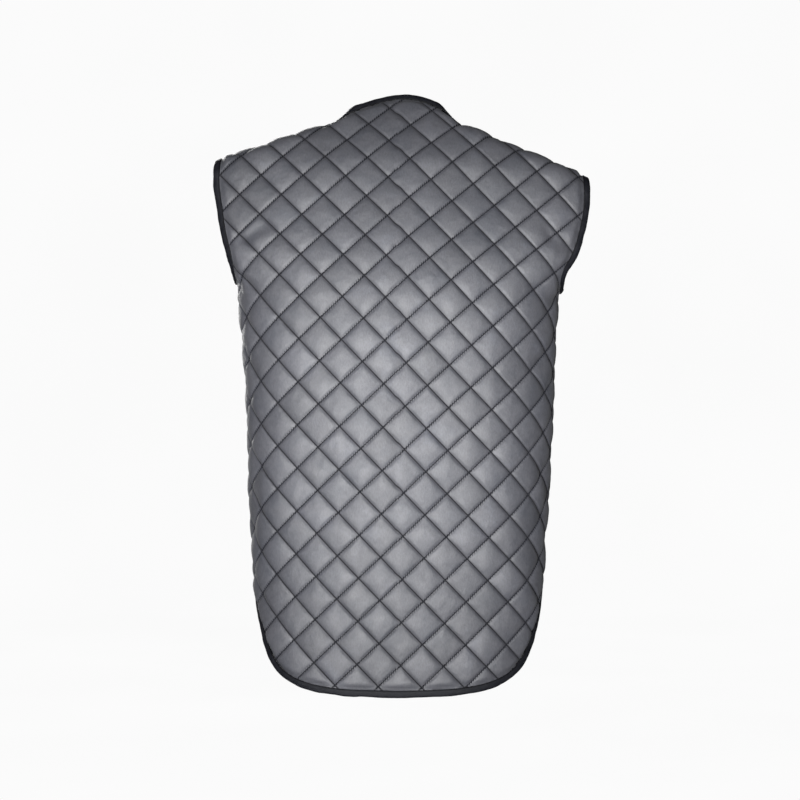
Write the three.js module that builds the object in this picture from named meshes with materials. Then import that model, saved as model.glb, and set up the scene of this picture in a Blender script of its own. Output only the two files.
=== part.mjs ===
// Diamond-quilted gilet, filled out as it is worn, with open neck, armholes and hem.
// Millimetres. +Z is up, the front faces -Y and +X is the wearer's left.
// The origin is midway between the side-neck points, where the shoulders carry it.
import * as THREE from 'three';

const degree = Math.PI / 180;

// Quilting: square diamonds on point, sewn in straight rows.
const rowSpacing = 38.1;
const diamond = rowSpacing * Math.SQRT2;
const gridStep = diamond / 4;
const quiltColumnLean = -1.08 * degree;
const quiltRowLean = 1.4 * degree;
const quiltNodeBack = { s: -9.5, z: -364.5 };
const quiltNodeFront = { s: 0, z: -352 };

// Cloth.
const wall = 2;
const loft = 4.6;
const seamGap = 0.3;
const seamPinch = 11;
const bindingPinch = 13;

// Binding: a folded tape with the flattened panel edge inside it.
const bindingWidth = 9.4;
const bindingOuter = 3.7;
const bindingInner = -1.2;
const bindingRound = 1.8;
const bindingMouth = 0.5;
const sharpestMitre = 0.6;

// Shoulders.
const sideNeck = 77;
const shoulderFall = 0.335;
const neckFlare = 0.022;
const neckFlareReach = 86;
const ridgeRadius = 22;
const backSeamAngle = 110 * degree;
const frontSeamAngle = 70 * degree;
const sideSeamY = 12;
const rightDroop = 18;
const droopReach = 240;
const droopTop = -150;
const droopBottom = -480;
const droopCurve = 1.3;
const turnLowZ = { back: -200, front: -220 };
const turnHighZ = 70;
const seamFrom = 30;
const seamTo = 300;

// Sections of the worn form, without the cloth's thickness: half widths to the wearer's left
// and right, and depths behind and in front of the side seams.
const sections = [
  { z: -760, left: 176, right: 176, back: 90, front: 98 },
  { z: -640, left: 179, right: 180, back: 95, front: 106 },
  { z: -586, left: 181, right: 182, back: 97, front: 110 },
  { z: -537, left: 183, right: 185, back: 98, front: 112 },
  { z: -486, left: 185, right: 190, back: 99, front: 115 },
  { z: -434, left: 186, right: 192, back: 100, front: 117 },
  { z: -357, left: 189, right: 195, back: 101, front: 119 },
  { z: -280, left: 195, right: 197, back: 100, front: 119 },
  { z: -228, left: 201, right: 200, back: 96, front: 116 },
  { z: -206, left: 206, right: 205, back: 92, front: 113 },
  { z: -172, left: 232, right: 237, back: 82, front: 105 },
  { z: -141, left: 248, right: 257, back: 71, front: 96 },
  { z: -110, left: 257, right: 267, back: 60, front: 84 },
  { z: -79, left: 262, right: 273, back: 49, front: 70 },
  { z: -50, left: 264, right: 275, back: 38, front: 56 },
  { z: -2, left: 264, right: 275, back: 9, front: 29 },
  { z: 37, left: 264, right: 275, back: -18, front: 2 },
  { z: 80, left: 264, right: 275, back: -51, front: -30 },
];
const backRoundness = 2.6;
const frontRoundness = 2.3;

// Armhole cut of the panels: half widths that are kept at each height.
const armholeCut = [
  { z: -260, left: 215, right: 215 },
  { z: -208, left: 205.5, right: 205 },
  { z: -190, left: 206, right: 209 },
  { z: -172, left: 209, right: 220 },
  { z: -141, left: 217, right: 230 },
  { z: -110, left: 222, right: 236 },
  { z: -79, left: 226, right: 236 },
  { z: -40, left: 224, right: 233 },
  { z: 40, left: 224, right: 233 },
];
const frontArmholeScoop = 11;
const frontScoopTop = -55;
const frontScoopBottom = -205;

// Neckline cut of the panels.
const backNeck = { centre: -14, base: -8, rise: 39, leftReach: 113, rightReach: 82 };
const backNeckSide = 76;
const backNeckSideRise = 0.25;
const frontNeckSide = 86;
const frontNeckDepth = 125;
const frontNeckCurve = 1.25;
const frontNeckRound = 30;

// Hem cut of the panels: the rise of the shirt-tail, from centre back to the side seam.
const backHemZ = -719;
const frontHemZ = -655;
const sideHemRise = 129;
const tailRise = [
  { reach: 0, rise: 0 },
  { reach: 75, rise: 3 },
  { reach: 120, rise: 11 },
  { reach: 150, rise: 26 },
  { reach: 170, rise: 50 },
  { reach: 192, rise: 88 },
  { reach: 215, rise: 116 },
  { reach: 245, rise: 129 },
  { reach: 300, rise: 129 },
];
const frontCornerRound = 32;

// Front closure: the left front laps over the right one.
const lapPastCentre = 17;
const panelPastCentre = lapPastCentre - bindingWidth;
const lapRaise = 6.2;
const lapRampEnd = 95;
const flatStand = 24;
const flatStandEnd = 38;
const studCount = 5;
const studTopZ = -160;
const studSpacing = 110;
const studRadius = 6;
const studCapHeight = 2.2;
const socketRadius = 4.4;
const postRadius = 5;
const postHeight = 1.6;
const studFacets = 12;
const studFlatShare = 0.62;
const studCapDome = 1;
const studEdgeDome = 0.3;

const clothColour = 0x3b3d44;
const bindingColour = 0x1d1f24;
const studColour = 0x2a2b2e;
const clothRoughness = 0.72;
const bindingRoughness = 0.55;
const studRoughness = 0.4;

function clamp01(value) {
  return Math.min(1, Math.max(0, value));
}

function smoothStep(from, to, value) {
  const u = clamp01((value - from) / (to - from));
  return u * u * (3 - 2 * u);
}

// Smooth value of a named column between the rows of a table.
function tableValue(rows, key, column, at) {
  const last = rows.length - 1;
  let i = 0;
  while (i < last - 1 && at > rows[i + 1][key]) i += 1;
  const slopeAt = (k) => {
    const low = rows[Math.max(0, k - 1)];
    const high = rows[Math.min(last, k + 1)];
    return (high[column] - low[column]) / (high[key] - low[key]);
  };
  const span = rows[i + 1][key] - rows[i][key];
  const u = clamp01((at - rows[i][key]) / span);
  const a = rows[i][column];
  const b = rows[i + 1][column];
  const startSlope = slopeAt(i) * span;
  const endSlope = slopeAt(i + 1) * span;
  const bend = 3 * (b - a) - 2 * startSlope - endSlope;
  const twist = 2 * (a - b) + startSlope + endSlope;
  return a + u * (startSlope + u * (bend + u * twist));
}

function sideName(lateral) {
  return lateral >= 0 ? 'left' : 'right';
}

// A quarter of a rounded section, walked by its own length from the centre to the side.
const arcSamples = 120;
function quarterPoint(halfWidth, depth, roundness, reach) {
  const power = 2 / roundness;
  const pointAt = (u) => ({
    x: halfWidth * Math.sin(u) ** power,
    y: depth * Math.max(0, Math.cos(u)) ** power,
  });
  let length = 0;
  let before = pointAt(0);
  for (let i = 1; i <= arcSamples; i += 1) {
    const after = pointAt((i / arcSamples) * Math.PI / 2);
    const step = Math.hypot(after.x - before.x, after.y - before.y);
    if (length + step >= reach) {
      return pointAt(((i - 1 + (reach - length) / step) / arcSamples) * Math.PI / 2);
    }
    length += step;
    before = after;
  }
  return { x: halfWidth, y: -(reach - length) };
}

function quarterLength(halfWidth, depth, roundness) {
  const power = 2 / roundness;
  let length = 0;
  let before = { x: 0, y: depth };
  for (let i = 1; i <= arcSamples; i += 1) {
    const u = (i / arcSamples) * Math.PI / 2;
    const after = { x: halfWidth * Math.sin(u) ** power, y: depth * Math.max(0, Math.cos(u)) ** power };
    length += Math.hypot(after.x - before.x, after.y - before.y);
    before = after;
  }
  return length;
}

// Height and length along the cloth at the centre line of one face of the form.
function makeRuler(column, originZ) {
  const step = 2;
  const lowest = sections[0].z;
  const highest = sections[sections.length - 1].z;
  const marks = [];
  let length = 0;
  let depth = tableValue(sections, 'z', column, lowest);
  for (let z = lowest; z <= highest; z += step) {
    const next = tableValue(sections, 'z', column, z);
    length += marks.length ? Math.hypot(step, next - depth) : 0;
    depth = next;
    marks.push({ z, length });
  }
  const lookup = (from, to, at) => {
    let low = 0;
    let high = marks.length - 1;
    while (high - low > 1) {
      const middle = (low + high) >> 1;
      if (marks[middle][from] <= at) low = middle;
      else high = middle;
    }
    const share = (at - marks[low][from]) / (marks[high][from] - marks[low][from]);
    return marks[low][to] + share * (marks[high][to] - marks[low][to]);
  };
  const zero = lookup('z', 'length', originZ);
  return {
    lengthAt: (z) => lookup('z', 'length', z) - zero,
    heightAt: (t) => lookup('length', 'z', t + zero),
  };
}

const backRuler = makeRuler('back', quiltNodeBack.z);
const frontRuler = makeRuler('front', quiltNodeFront.z);

function ridgeHeight(x) {
  const flare = Math.max(0, neckFlareReach - Math.abs(x));
  return -shoulderFall * (Math.abs(x) - sideNeck) + neckFlare * flare * flare;
}

function droop(x, z) {
  if (x >= 0) return 0;
  const outward = (Math.min(-x, droopReach) / droopReach) ** droopCurve;
  return rightDroop * outward * smoothStep(droopBottom, droopTop, z);
}

// Point of the plain back form, below the shoulder's turn.
function backForm(s, t) {
  const side = sideName(s);
  const z = backRuler.heightAt(t);
  const halfWidth = tableValue(sections, 'z', side, z);
  const depth = tableValue(sections, 'z', 'back', z);
  const point = quarterPoint(halfWidth, depth, backRoundness, Math.abs(s));
  return { x: Math.sign(s) * point.x, y: sideSeamY + point.y, z };
}

// Where a column of the cloth starts its turn over the shoulder, and its lean there.
const turnHalvings = 26;
function findTurn(form, topHeight, radius, endAngle, lowT, highT) {
  const probe = 2;
  const state = (t) => {
    const point = form(t);
    const below = form(t - probe);
    const lean = Math.atan2(Math.abs(point.y - below.y), point.z - below.z);
    const rise = radius * (Math.sin(Math.min(endAngle, Math.PI / 2)) - Math.sin(lean));
    return { t, point, lean, over: point.z + rise - topHeight(point.x) };
  };
  let low = lowT;
  let high = highT;
  for (let i = 0; i < turnHalvings; i += 1) {
    const middle = (low + high) / 2;
    if (state(middle).over < 0) low = middle;
    else high = middle;
  }
  return state((low + high) / 2);
}

const backTurns = new Map();
function backTurn(s) {
  const key = s.toFixed(4);
  if (!backTurns.has(key)) {
    const lowT = backRuler.lengthAt(turnLowZ.back);
    const highT = backRuler.lengthAt(turnHighZ);
    const turn = findTurn((t) => backForm(s, t), ridgeHeight, ridgeRadius, backSeamAngle, lowT, highT);
    turn.seamT = turn.t + ridgeRadius * (backSeamAngle - turn.lean);
    backTurns.set(key, turn);
  }
  return backTurns.get(key);
}

function backPoint(s, t) {
  let point = null;
  const turn = backTurn(s);
  if (t <= turn.t) {
    point = backForm(s, t);
  } else {
    const angle = turn.lean + (t - turn.t) / ridgeRadius;
    point = {
      x: turn.point.x,
      y: turn.point.y - ridgeRadius * (Math.cos(turn.lean) - Math.cos(angle)),
      z: turn.point.z + ridgeRadius * (Math.sin(angle) - Math.sin(turn.lean)),
    };
  }
  return new THREE.Vector3(point.x, point.y, point.z - droop(point.x, point.z));
}

// The shoulder seam that both faces share, before the droop, by its distance from the centre.
const seamSampleStep = 6;
const seamSamples = { left: [], right: [] };
for (const side of ['left', 'right']) {
  const way = side === 'left' ? 1 : -1;
  for (let s = seamFrom; s <= seamTo; s += seamSampleStep) {
    const turn = backTurn(way * s);
    seamSamples[side].push({
      x: Math.abs(turn.point.x),
      y: turn.point.y - ridgeRadius * (Math.cos(turn.lean) - Math.cos(backSeamAngle)),
      z: turn.point.z + ridgeRadius * (Math.sin(backSeamAngle) - Math.sin(turn.lean)),
    });
  }
}

function seamAt(x) {
  const rows = seamSamples[sideName(x)];
  return {
    y: tableValue(rows, 'x', 'y', Math.abs(x)),
    z: tableValue(rows, 'x', 'z', Math.abs(x)),
  };
}

function frontForm(s, t) {
  const side = sideName(s);
  const z = frontRuler.heightAt(t);
  const halfWidth = tableValue(sections, 'z', side, z);
  const depth = tableValue(sections, 'z', 'front', z);
  const point = quarterPoint(halfWidth, depth, frontRoundness, Math.abs(s));
  return { x: Math.sign(s) * point.x, y: sideSeamY - point.y, z };
}

// Columns in front of the neck are cut away below the seam, and follow the column beside it.
const frontNeckColumn = 77;
const frontTurns = new Map();
function frontTurn(s) {
  const key = s.toFixed(4);
  if (!frontTurns.has(key)) {
    const column = Math.abs(s) < frontNeckColumn ? frontNeckColumn * (Math.sign(s) || 1) : s;
    const lowT = frontRuler.lengthAt(turnLowZ.front);
    const highT = frontRuler.lengthAt(turnHighZ);
    const topAt = (x) => seamAt(x).z;
    const form = (t) => frontForm(column, t);
    const turn = findTurn(form, topAt, ridgeRadius, frontSeamAngle, lowT, highT);
    const across = ridgeRadius * (Math.cos(turn.lean) - Math.cos(frontSeamAngle));
    turn.setBack = seamAt(turn.point.x).y - across - turn.point.y;
    turn.seamT = turn.t + ridgeRadius * (frontSeamAngle - turn.lean);
    turn.point = frontForm(s, turn.t);
    frontTurns.set(key, turn);
  }
  return frontTurns.get(key);
}

// The chest is eased back to meet the shoulder seam, from lower down at the centre front.
const chestEase = { centreZ: -300, sideZ: -200, from: 110, to: 230 };
function frontPoint(s, t) {
  let point = null;
  const turn = frontTurn(s);
  if (t <= turn.t) {
    point = frontForm(s, t);
    const sideShare = smoothStep(chestEase.from, chestEase.to, Math.abs(s));
    const start = chestEase.centreZ + (chestEase.sideZ - chestEase.centreZ) * sideShare;
    point.y += turn.setBack * smoothStep(start, turn.point.z, point.z);
  } else {
    const angle = turn.lean + (t - turn.t) / ridgeRadius;
    point = {
      x: turn.point.x,
      y: turn.point.y + turn.setBack + ridgeRadius * (Math.cos(turn.lean) - Math.cos(angle)),
      z: turn.point.z + ridgeRadius * (Math.sin(angle) - Math.sin(turn.lean)),
    };
  }
  return new THREE.Vector3(point.x, point.y, point.z - droop(point.x, point.z));
}

// A cloth gives the point and outward normal at a place on it: s across, t up.
function makeCloth(pointAt, facing, raiseAt) {
  const nudge = 0.6;
  const normalAt = (s, t) => {
    const across = pointAt(s + nudge, t).sub(pointAt(s - nudge, t));
    const up = pointAt(s, t + nudge).sub(pointAt(s, t - nudge));
    return up.cross(across).multiplyScalar(facing).normalize();
  };
  return (s, t, height) => {
    const normal = normalAt(s, t);
    const lift = raiseAt(s) + height;
    return { point: pointAt(s, t).addScaledVector(normal, lift), normal };
  };
}

const flatRaise = () => 0;
const leftLapRaise = (s) => lapRaise * (1 - smoothStep(lapPastCentre, lapRampEnd, s));
const backCloth = makeCloth(backPoint, 1, flatRaise);
const frontLeftCloth = makeCloth(frontPoint, -1, leftLapRaise);
const frontRightCloth = makeCloth(frontPoint, -1, flatRaise);

function roundedMeet(a, b, radius) {
  const near = Math.hypot(Math.max(radius - a, 0), Math.max(radius - b, 0));
  return Math.max(radius, Math.min(a, b)) - near;
}

function backNeckHeight(x) {
  const reach = x > backNeck.centre ? backNeck.leftReach : backNeck.rightReach;
  const turn = Math.min(1, Math.abs(x - backNeck.centre) / reach);
  return backNeck.base + backNeck.rise * Math.cos(turn * Math.PI / 2);
}

function armholeWidth(point, scoop) {
  const width = tableValue(armholeCut, 'z', sideName(point.x), point.z);
  const share = (point.z - frontScoopBottom) / (frontScoopTop - frontScoopBottom);
  return width - scoop * Math.sin(Math.PI * clamp01(share)) ** 2;
}

// The cuts of a panel: each gives the distance inside its line.
const backCuts = {
  hem: (s, t) => {
    const rise = tableValue(tailRise, 'reach', 'rise', Math.abs(s));
    return t - backRuler.lengthAt(backHemZ + rise);
  },
  sideSeam: (s, t) => {
    const z = backRuler.heightAt(t);
    const halfWidth = tableValue(sections, 'z', sideName(s), z);
    const depth = tableValue(sections, 'z', 'back', z);
    return quarterLength(halfWidth, depth, backRoundness) - Math.abs(s) - seamGap / 2;
  },
  armhole: (s, t) => {
    const point = backPoint(s, t);
    return armholeWidth(point, 0) - Math.abs(point.x);
  },
  shoulderSeam: (s, t) => backTurn(s).seamT - t - seamGap / 2,
  neck: (s, t) => {
    const rise = backNeckSideRise * Math.max(0, Math.abs(s) - backNeckSide) ** 2;
    return backRuler.lengthAt(backNeckHeight(s)) + rise - t;
  },
};

function frontCuts(way) {
  const neckCut = (s, t) => {
    const point = frontPoint(s, t);
    const share = Math.max(0, -point.z / frontNeckDepth) ** frontNeckCurve;
    return way * point.x - (frontNeckSide - (frontNeckSide + panelPastCentre) * share);
  };
  const edgeCut = (s) => way * s + panelPastCentre;
  const hemCut = (s, t) => {
    const rise = tableValue(tailRise, 'reach', 'rise', Math.abs(s));
    const share = (backHemZ + sideHemRise - frontHemZ) / sideHemRise;
    return t - frontRuler.lengthAt(frontHemZ + rise * share);
  };
  return {
    sideSeam: (s, t) => {
      const z = frontRuler.heightAt(t);
      const halfWidth = tableValue(sections, 'z', sideName(way), z);
      const depth = tableValue(sections, 'z', 'front', z);
      return quarterLength(halfWidth, depth, frontRoundness) - way * s - seamGap / 2;
    },
    armhole: (s, t) => {
      const point = frontPoint(s, t);
      return armholeWidth(point, frontArmholeScoop) - Math.abs(point.x);
    },
    shoulderSeam: (s, t) => frontTurn(s).seamT - t - seamGap / 2,
    outline: (s, t) => {
      const upper = roundedMeet(neckCut(s, t), edgeCut(s), frontNeckRound);
      return roundedMeet(upper, hemCut(s, t), frontCornerRound);
    },
  };
}

// Cuts the quilting grid to a panel's outline. Grid corners that lie close to a line are
// moved onto it, so that no sliver is left beside it.
const snapReach = 2.4;
const insideLimit = 1e-6;
const onLineLimit = 0.05;
const cutHalvings = 30;
const cornerRounds = 6;
const snapRounds = 4;

function cutPanel(cuts, lattice, bounds) {
  const vertices = [];
  const columnFrom = Math.floor((bounds.left - lattice.s) / gridStep) - 1;
  const columnTo = Math.ceil((bounds.right - lattice.s) / gridStep) + 1;
  const rowFrom = Math.floor(bounds.low / gridStep) - 2;
  const rowTo = Math.ceil(bounds.high / gridStep) + 2;
  const columns = columnTo - columnFrom + 1;
  const indexOf = (i, j) => (j - rowFrom) * columns + (i - columnFrom);
  for (let j = rowFrom; j <= rowTo; j += 1) {
    for (let i = columnFrom; i <= columnTo; i += 1) {
      const s = lattice.s + (i + lattice.columnLean * j) * gridStep;
      const t = (j + lattice.rowLean * i) * gridStep;
      vertices.push({ s, t, on: [], moved: false });
    }
  }
  let polygons = [];
  for (let j = rowFrom; j < rowTo; j += 1) {
    for (let i = columnFrom; i < columnTo; i += 1) {
      const corners = [indexOf(i, j), indexOf(i + 1, j), indexOf(i + 1, j + 1), indexOf(i, j + 1)];
      const leftHalf = ((i % 4) + 4) % 4 < 2;
      const upperHalf = ((j % 4) + 4) % 4 >= 2;
      const falling = leftHalf === upperHalf;
      const cell = { i, j };
      if (falling) {
        polygons.push({ cell, ring: [corners[0], corners[1], corners[3]], whole: true });
        polygons.push({ cell, ring: [corners[1], corners[2], corners[3]], whole: true });
      } else {
        polygons.push({ cell, ring: [corners[0], corners[1], corners[2]], whole: true });
        polygons.push({ cell, ring: [corners[0], corners[2], corners[3]], whole: true });
      }
    }
  }
  for (const [name, cut] of Object.entries(cuts)) {
    polygons = cutBy(name, cut, vertices, polygons);
  }
  for (const vertex of vertices) {
    if (vertex.on.length === 2) settleCorner(vertex, cuts[vertex.on[0]], cuts[vertex.on[1]]);
  }
  return { vertices, polygons, indexOf };
}

// Moves a corner onto both of the lines that meet there.
function settleCorner(vertex, first, second) {
  const probe = 0.4;
  for (let round = 0; round < cornerRounds; round += 1) {
    const { s, t } = vertex;
    const firstS = (first(s + probe, t) - first(s - probe, t)) / (2 * probe);
    const firstT = (first(s, t + probe) - first(s, t - probe)) / (2 * probe);
    const secondS = (second(s + probe, t) - second(s - probe, t)) / (2 * probe);
    const secondT = (second(s, t + probe) - second(s, t - probe)) / (2 * probe);
    const size = firstS * secondT - firstT * secondS;
    const a = first(s, t);
    const b = second(s, t);
    vertex.s -= (a * secondT - b * firstT) / size;
    vertex.t -= (b * firstS - a * secondS) / size;
  }
}

function snapToCut(name, cut, vertex) {
  const probe = 0.5;
  for (let round = 0; round < snapRounds; round += 1) {
    const value = cut(vertex.s, vertex.t);
    const slopeS = (cut(vertex.s + probe, vertex.t) - cut(vertex.s - probe, vertex.t)) / (2 * probe);
    const slopeT = (cut(vertex.s, vertex.t + probe) - cut(vertex.s, vertex.t - probe)) / (2 * probe);
    const steepness = slopeS * slopeS + slopeT * slopeT;
    if (round === 0 && Math.abs(value) > snapReach * Math.sqrt(steepness)) return value;
    vertex.s -= (value * slopeS) / steepness;
    vertex.t -= (value * slopeT) / steepness;
  }
  vertex.on.push(name);
  vertex.moved = true;
  return 0;
}

function cutBy(name, cut, vertices, polygons) {
  const used = new Set(polygons.flatMap((polygon) => polygon.ring));
  const values = new Map();
  for (const index of used) {
    const vertex = vertices[index];
    const value = vertex.on.length ? cut(vertex.s, vertex.t) : snapToCut(name, cut, vertex);
    if (vertex.on.length && Math.abs(value) < onLineLimit && !vertex.on.includes(name)) vertex.on.push(name);
    values.set(index, vertex.on.includes(name) ? 0 : value);
  }
  const crossings = new Map();
  const crossingOf = (a, b) => {
    const key = a < b ? `${a},${b}` : `${b},${a}`;
    if (!crossings.has(key)) {
      const first = vertices[Math.min(a, b)];
      const second = vertices[Math.max(a, b)];
      let low = 0;
      let high = 1;
      const startsInside = values.get(Math.min(a, b)) > 0;
      for (let i = 0; i < cutHalvings; i += 1) {
        const middle = (low + high) / 2;
        const s = first.s + middle * (second.s - first.s);
        const t = first.t + middle * (second.t - first.t);
        if ((cut(s, t) > 0) === startsInside) low = middle;
        else high = middle;
      }
      const share = (low + high) / 2;
      const shared = first.on.filter((other) => second.on.includes(other));
      vertices.push({
        s: first.s + share * (second.s - first.s),
        t: first.t + share * (second.t - first.t),
        on: [...shared, name],
        moved: true,
      });
      crossings.set(key, vertices.length - 1);
    }
    return crossings.get(key);
  };
  const kept = [];
  for (const polygon of polygons) {
    const heights = polygon.ring.map((index) => values.get(index));
    const most = Math.max(...heights);
    const least = Math.min(...heights);
    if (most <= insideLimit && least < -insideLimit) continue;
    if (most <= insideLimit) {
      const middle = middleOf(polygon.ring, vertices);
      if (cut(middle.s, middle.t) > 0) kept.push(polygon);
      continue;
    }
    if (least >= -insideLimit) {
      kept.push(polygon);
      continue;
    }
    const ring = [];
    polygon.ring.forEach((index, k) => {
      const next = polygon.ring[(k + 1) % polygon.ring.length];
      const here = values.get(index);
      const there = values.get(next);
      if (here >= -insideLimit) ring.push(index);
      const crosses = (here > insideLimit && there < -insideLimit)
        || (here < -insideLimit && there > insideLimit);
      if (crosses) ring.push(crossingOf(index, next));
    });
    if (ring.length > 2) kept.push({ cell: polygon.cell, ring, whole: false });
  }
  return kept;
}

function middleOf(ring, vertices) {
  const sum = ring.reduce((total, index) => ({
    s: total.s + vertices[index].s,
    t: total.t + vertices[index].t,
  }), { s: 0, t: 0 });
  return { s: sum.s / ring.length, t: sum.t / ring.length };
}

// Puff of the quilting: nothing on the sewn rows, most in the middle of a diamond.
function puff(s, t, lattice) {
  const size = diamond * (1 - lattice.columnLean * lattice.rowLean);
  const across = (s - lattice.s - lattice.columnLean * t) / size;
  const up = (t - lattice.rowLean * (s - lattice.s)) / size;
  const u = across + up;
  const v = across - up;
  const hill = (share) => {
    const local = share - Math.floor(share);
    return 4 * local * (1 - local);
  };
  return loft * Math.sqrt(hill(u) * hill(v));
}

function fan(ring) {
  const triangles = [];
  for (let k = 1; k < ring.length - 1; k += 1) triangles.push([ring[0], ring[k], ring[k + 1]]);
  return triangles;
}

// The plain inner face takes blocks of four grid cells where the panel is whole.
function innerTriangles(panel, mayMerge) {
  const { vertices, polygons, indexOf } = panel;
  const cellCount = new Map();
  const keyOf = (i, j) => `${i},${j}`;
  for (const polygon of polygons) {
    const untouched = polygon.whole && polygon.ring.every((index) => !vertices[index].moved);
    if (untouched) {
      const key = keyOf(polygon.cell.i, polygon.cell.j);
      cellCount.set(key, (cellCount.get(key) || 0) + 1);
    }
  }
  const isFull = (i, j) => cellCount.get(keyOf(i, j)) === 2;
  const blockMemory = new Map();
  const isBlock = (bi, bj) => {
    const key = keyOf(bi, bj);
    if (!blockMemory.has(key)) {
      const i = 2 * bi;
      const j = 2 * bj;
      const full = isFull(i, j) && isFull(i + 1, j) && isFull(i, j + 1) && isFull(i + 1, j + 1);
      blockMemory.set(key, full && mayMerge(vertices[indexOf(i + 1, j + 1)]));
    }
    return blockMemory.get(key);
  };
  const triangles = [];
  const blocksDone = new Set();
  for (const polygon of polygons) {
    const bi = Math.floor(polygon.cell.i / 2);
    const bj = Math.floor(polygon.cell.j / 2);
    if (!isBlock(bi, bj)) {
      triangles.push(...fan(polygon.ring));
      continue;
    }
    const key = keyOf(bi, bj);
    if (blocksDone.has(key)) continue;
    blocksDone.add(key);
    const i = 2 * bi;
    const j = 2 * bj;
    const ring = [indexOf(i, j)];
    if (!isBlock(bi, bj - 1)) ring.push(indexOf(i + 1, j));
    ring.push(indexOf(i + 2, j));
    if (!isBlock(bi + 1, bj)) ring.push(indexOf(i + 2, j + 1));
    ring.push(indexOf(i + 2, j + 2));
    if (!isBlock(bi, bj + 1)) ring.push(indexOf(i + 1, j + 2));
    ring.push(indexOf(i, j + 2));
    if (!isBlock(bi - 1, bj)) ring.push(indexOf(i, j + 1));
    if (ring.length === 4) {
      triangles.push(...fan(ring));
    } else {
      const hub = indexOf(i + 1, j + 1);
      ring.forEach((index, k) => triangles.push([hub, index, ring[(k + 1) % ring.length]]));
    }
  }
  return triangles;
}

function boundaryOf(polygons) {
  const edges = new Map();
  for (const polygon of polygons) {
    polygon.ring.forEach((index, k) => {
      const next = polygon.ring[(k + 1) % polygon.ring.length];
      const reverse = `${next},${index}`;
      if (edges.has(reverse)) edges.delete(reverse);
      else edges.set(`${index},${next}`, [index, next]);
    });
  }
  const nextOf = new Map([...edges.values()]);
  const start = nextOf.keys().next().value;
  const loop = [start];
  while (nextOf.get(loop[loop.length - 1]) !== start) loop.push(nextOf.get(loop[loop.length - 1]));
  if (loop.length !== nextOf.size) throw new Error('a panel has more than one outline');
  return loop;
}

function meshGeometry(points, triangles) {
  const geometry = new THREE.BufferGeometry();
  const positions = points.flatMap((point) => [point.x, point.y, point.z]);
  geometry.setAttribute('position', new THREE.Float32BufferAttribute(positions, 3));
  geometry.setIndex(triangles.flat());
  geometry.computeVertexNormals();
  return geometry;
}

function namedMesh(name, geometry, colour, roughness) {
  const material = new THREE.MeshStandardMaterial({ color: colour, roughness, metalness: 0 });
  const mesh = new THREE.Mesh(geometry, material);
  mesh.name = name;
  return mesh;
}

// A quilted panel: relief outside, plain inside, closed by a rim along its outline.
function makePanel(name, cloth, cuts, lattice, bounds, flatness, mayMerge, turned) {
  const panel = cutPanel(cuts, lattice, bounds);
  const loop = boundaryOf(panel.polygons);
  const outer = panel.polygons.flatMap((polygon) => fan(polygon.ring));
  const inner = innerTriangles(panel, mayMerge);
  const points = [];
  const outerAt = new Map();
  const innerAt = new Map();
  const place = (memory, index, height) => {
    if (!memory.has(index)) {
      const { s, t } = panel.vertices[index];
      memory.set(index, points.length);
      points.push(cloth(s, t, height(s, t)).point);
    }
    return memory.get(index);
  };
  const reliefAt = (s, t) => {
    let share = flatness(s);
    for (const [cutName, cut] of Object.entries(cuts)) {
      const pinch = cutName.endsWith('Seam') ? seamPinch : bindingPinch;
      share *= smoothStep(0, pinch, cut(s, t));
    }
    return wall + share * puff(s, t, lattice);
  };
  const outerPlace = (index) => place(outerAt, index, reliefAt);
  const innerPlace = (index) => place(innerAt, index, () => 0);
  const triangles = [];
  const facing = (a, b, c) => (turned ? [a, c, b] : [a, b, c]);
  for (const [a, b, c] of outer) triangles.push(facing(outerPlace(a), outerPlace(b), outerPlace(c)));
  for (const [a, b, c] of inner) triangles.push(facing(innerPlace(a), innerPlace(c), innerPlace(b)));
  loop.forEach((a, k) => {
    const b = loop[(k + 1) % loop.length];
    triangles.push(facing(outerPlace(a), innerPlace(a), innerPlace(b)));
    triangles.push(facing(outerPlace(a), innerPlace(b), outerPlace(b)));
  });
  const mesh = namedMesh(name, meshGeometry(points, triangles), clothColour, clothRoughness);
  return { mesh, panel, loop, cloth, cuts, turned };
}

// The run of a panel's outline that lies on one cut, from corner to corner.
function runAlong(made, cutName) {
  const { loop, panel } = made;
  const count = loop.length;
  const lies = (k) => {
    const a = panel.vertices[loop[k % count]];
    const b = panel.vertices[loop[(k + 1) % count]];
    const away = ['sideSeam', 'shoulderSeam'].some((seam) => a.on.includes(seam) && b.on.includes(seam));
    return a.on.includes(cutName) && b.on.includes(cutName) && !away;
  };
  const runs = [];
  for (let k = 0; k < count; k += 1) {
    if (lies(k) && !lies(k + count - 1)) {
      let end = k;
      while (lies(end)) end += 1;
      const places = [];
      for (let i = k - 1; i <= end + 1; i += 1) {
        const vertex = panel.vertices[loop[(i + count) % count]];
        places.push({ s: vertex.s, t: vertex.t });
      }
      runs.push(places);
    }
  }
  return runs;
}

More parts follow.
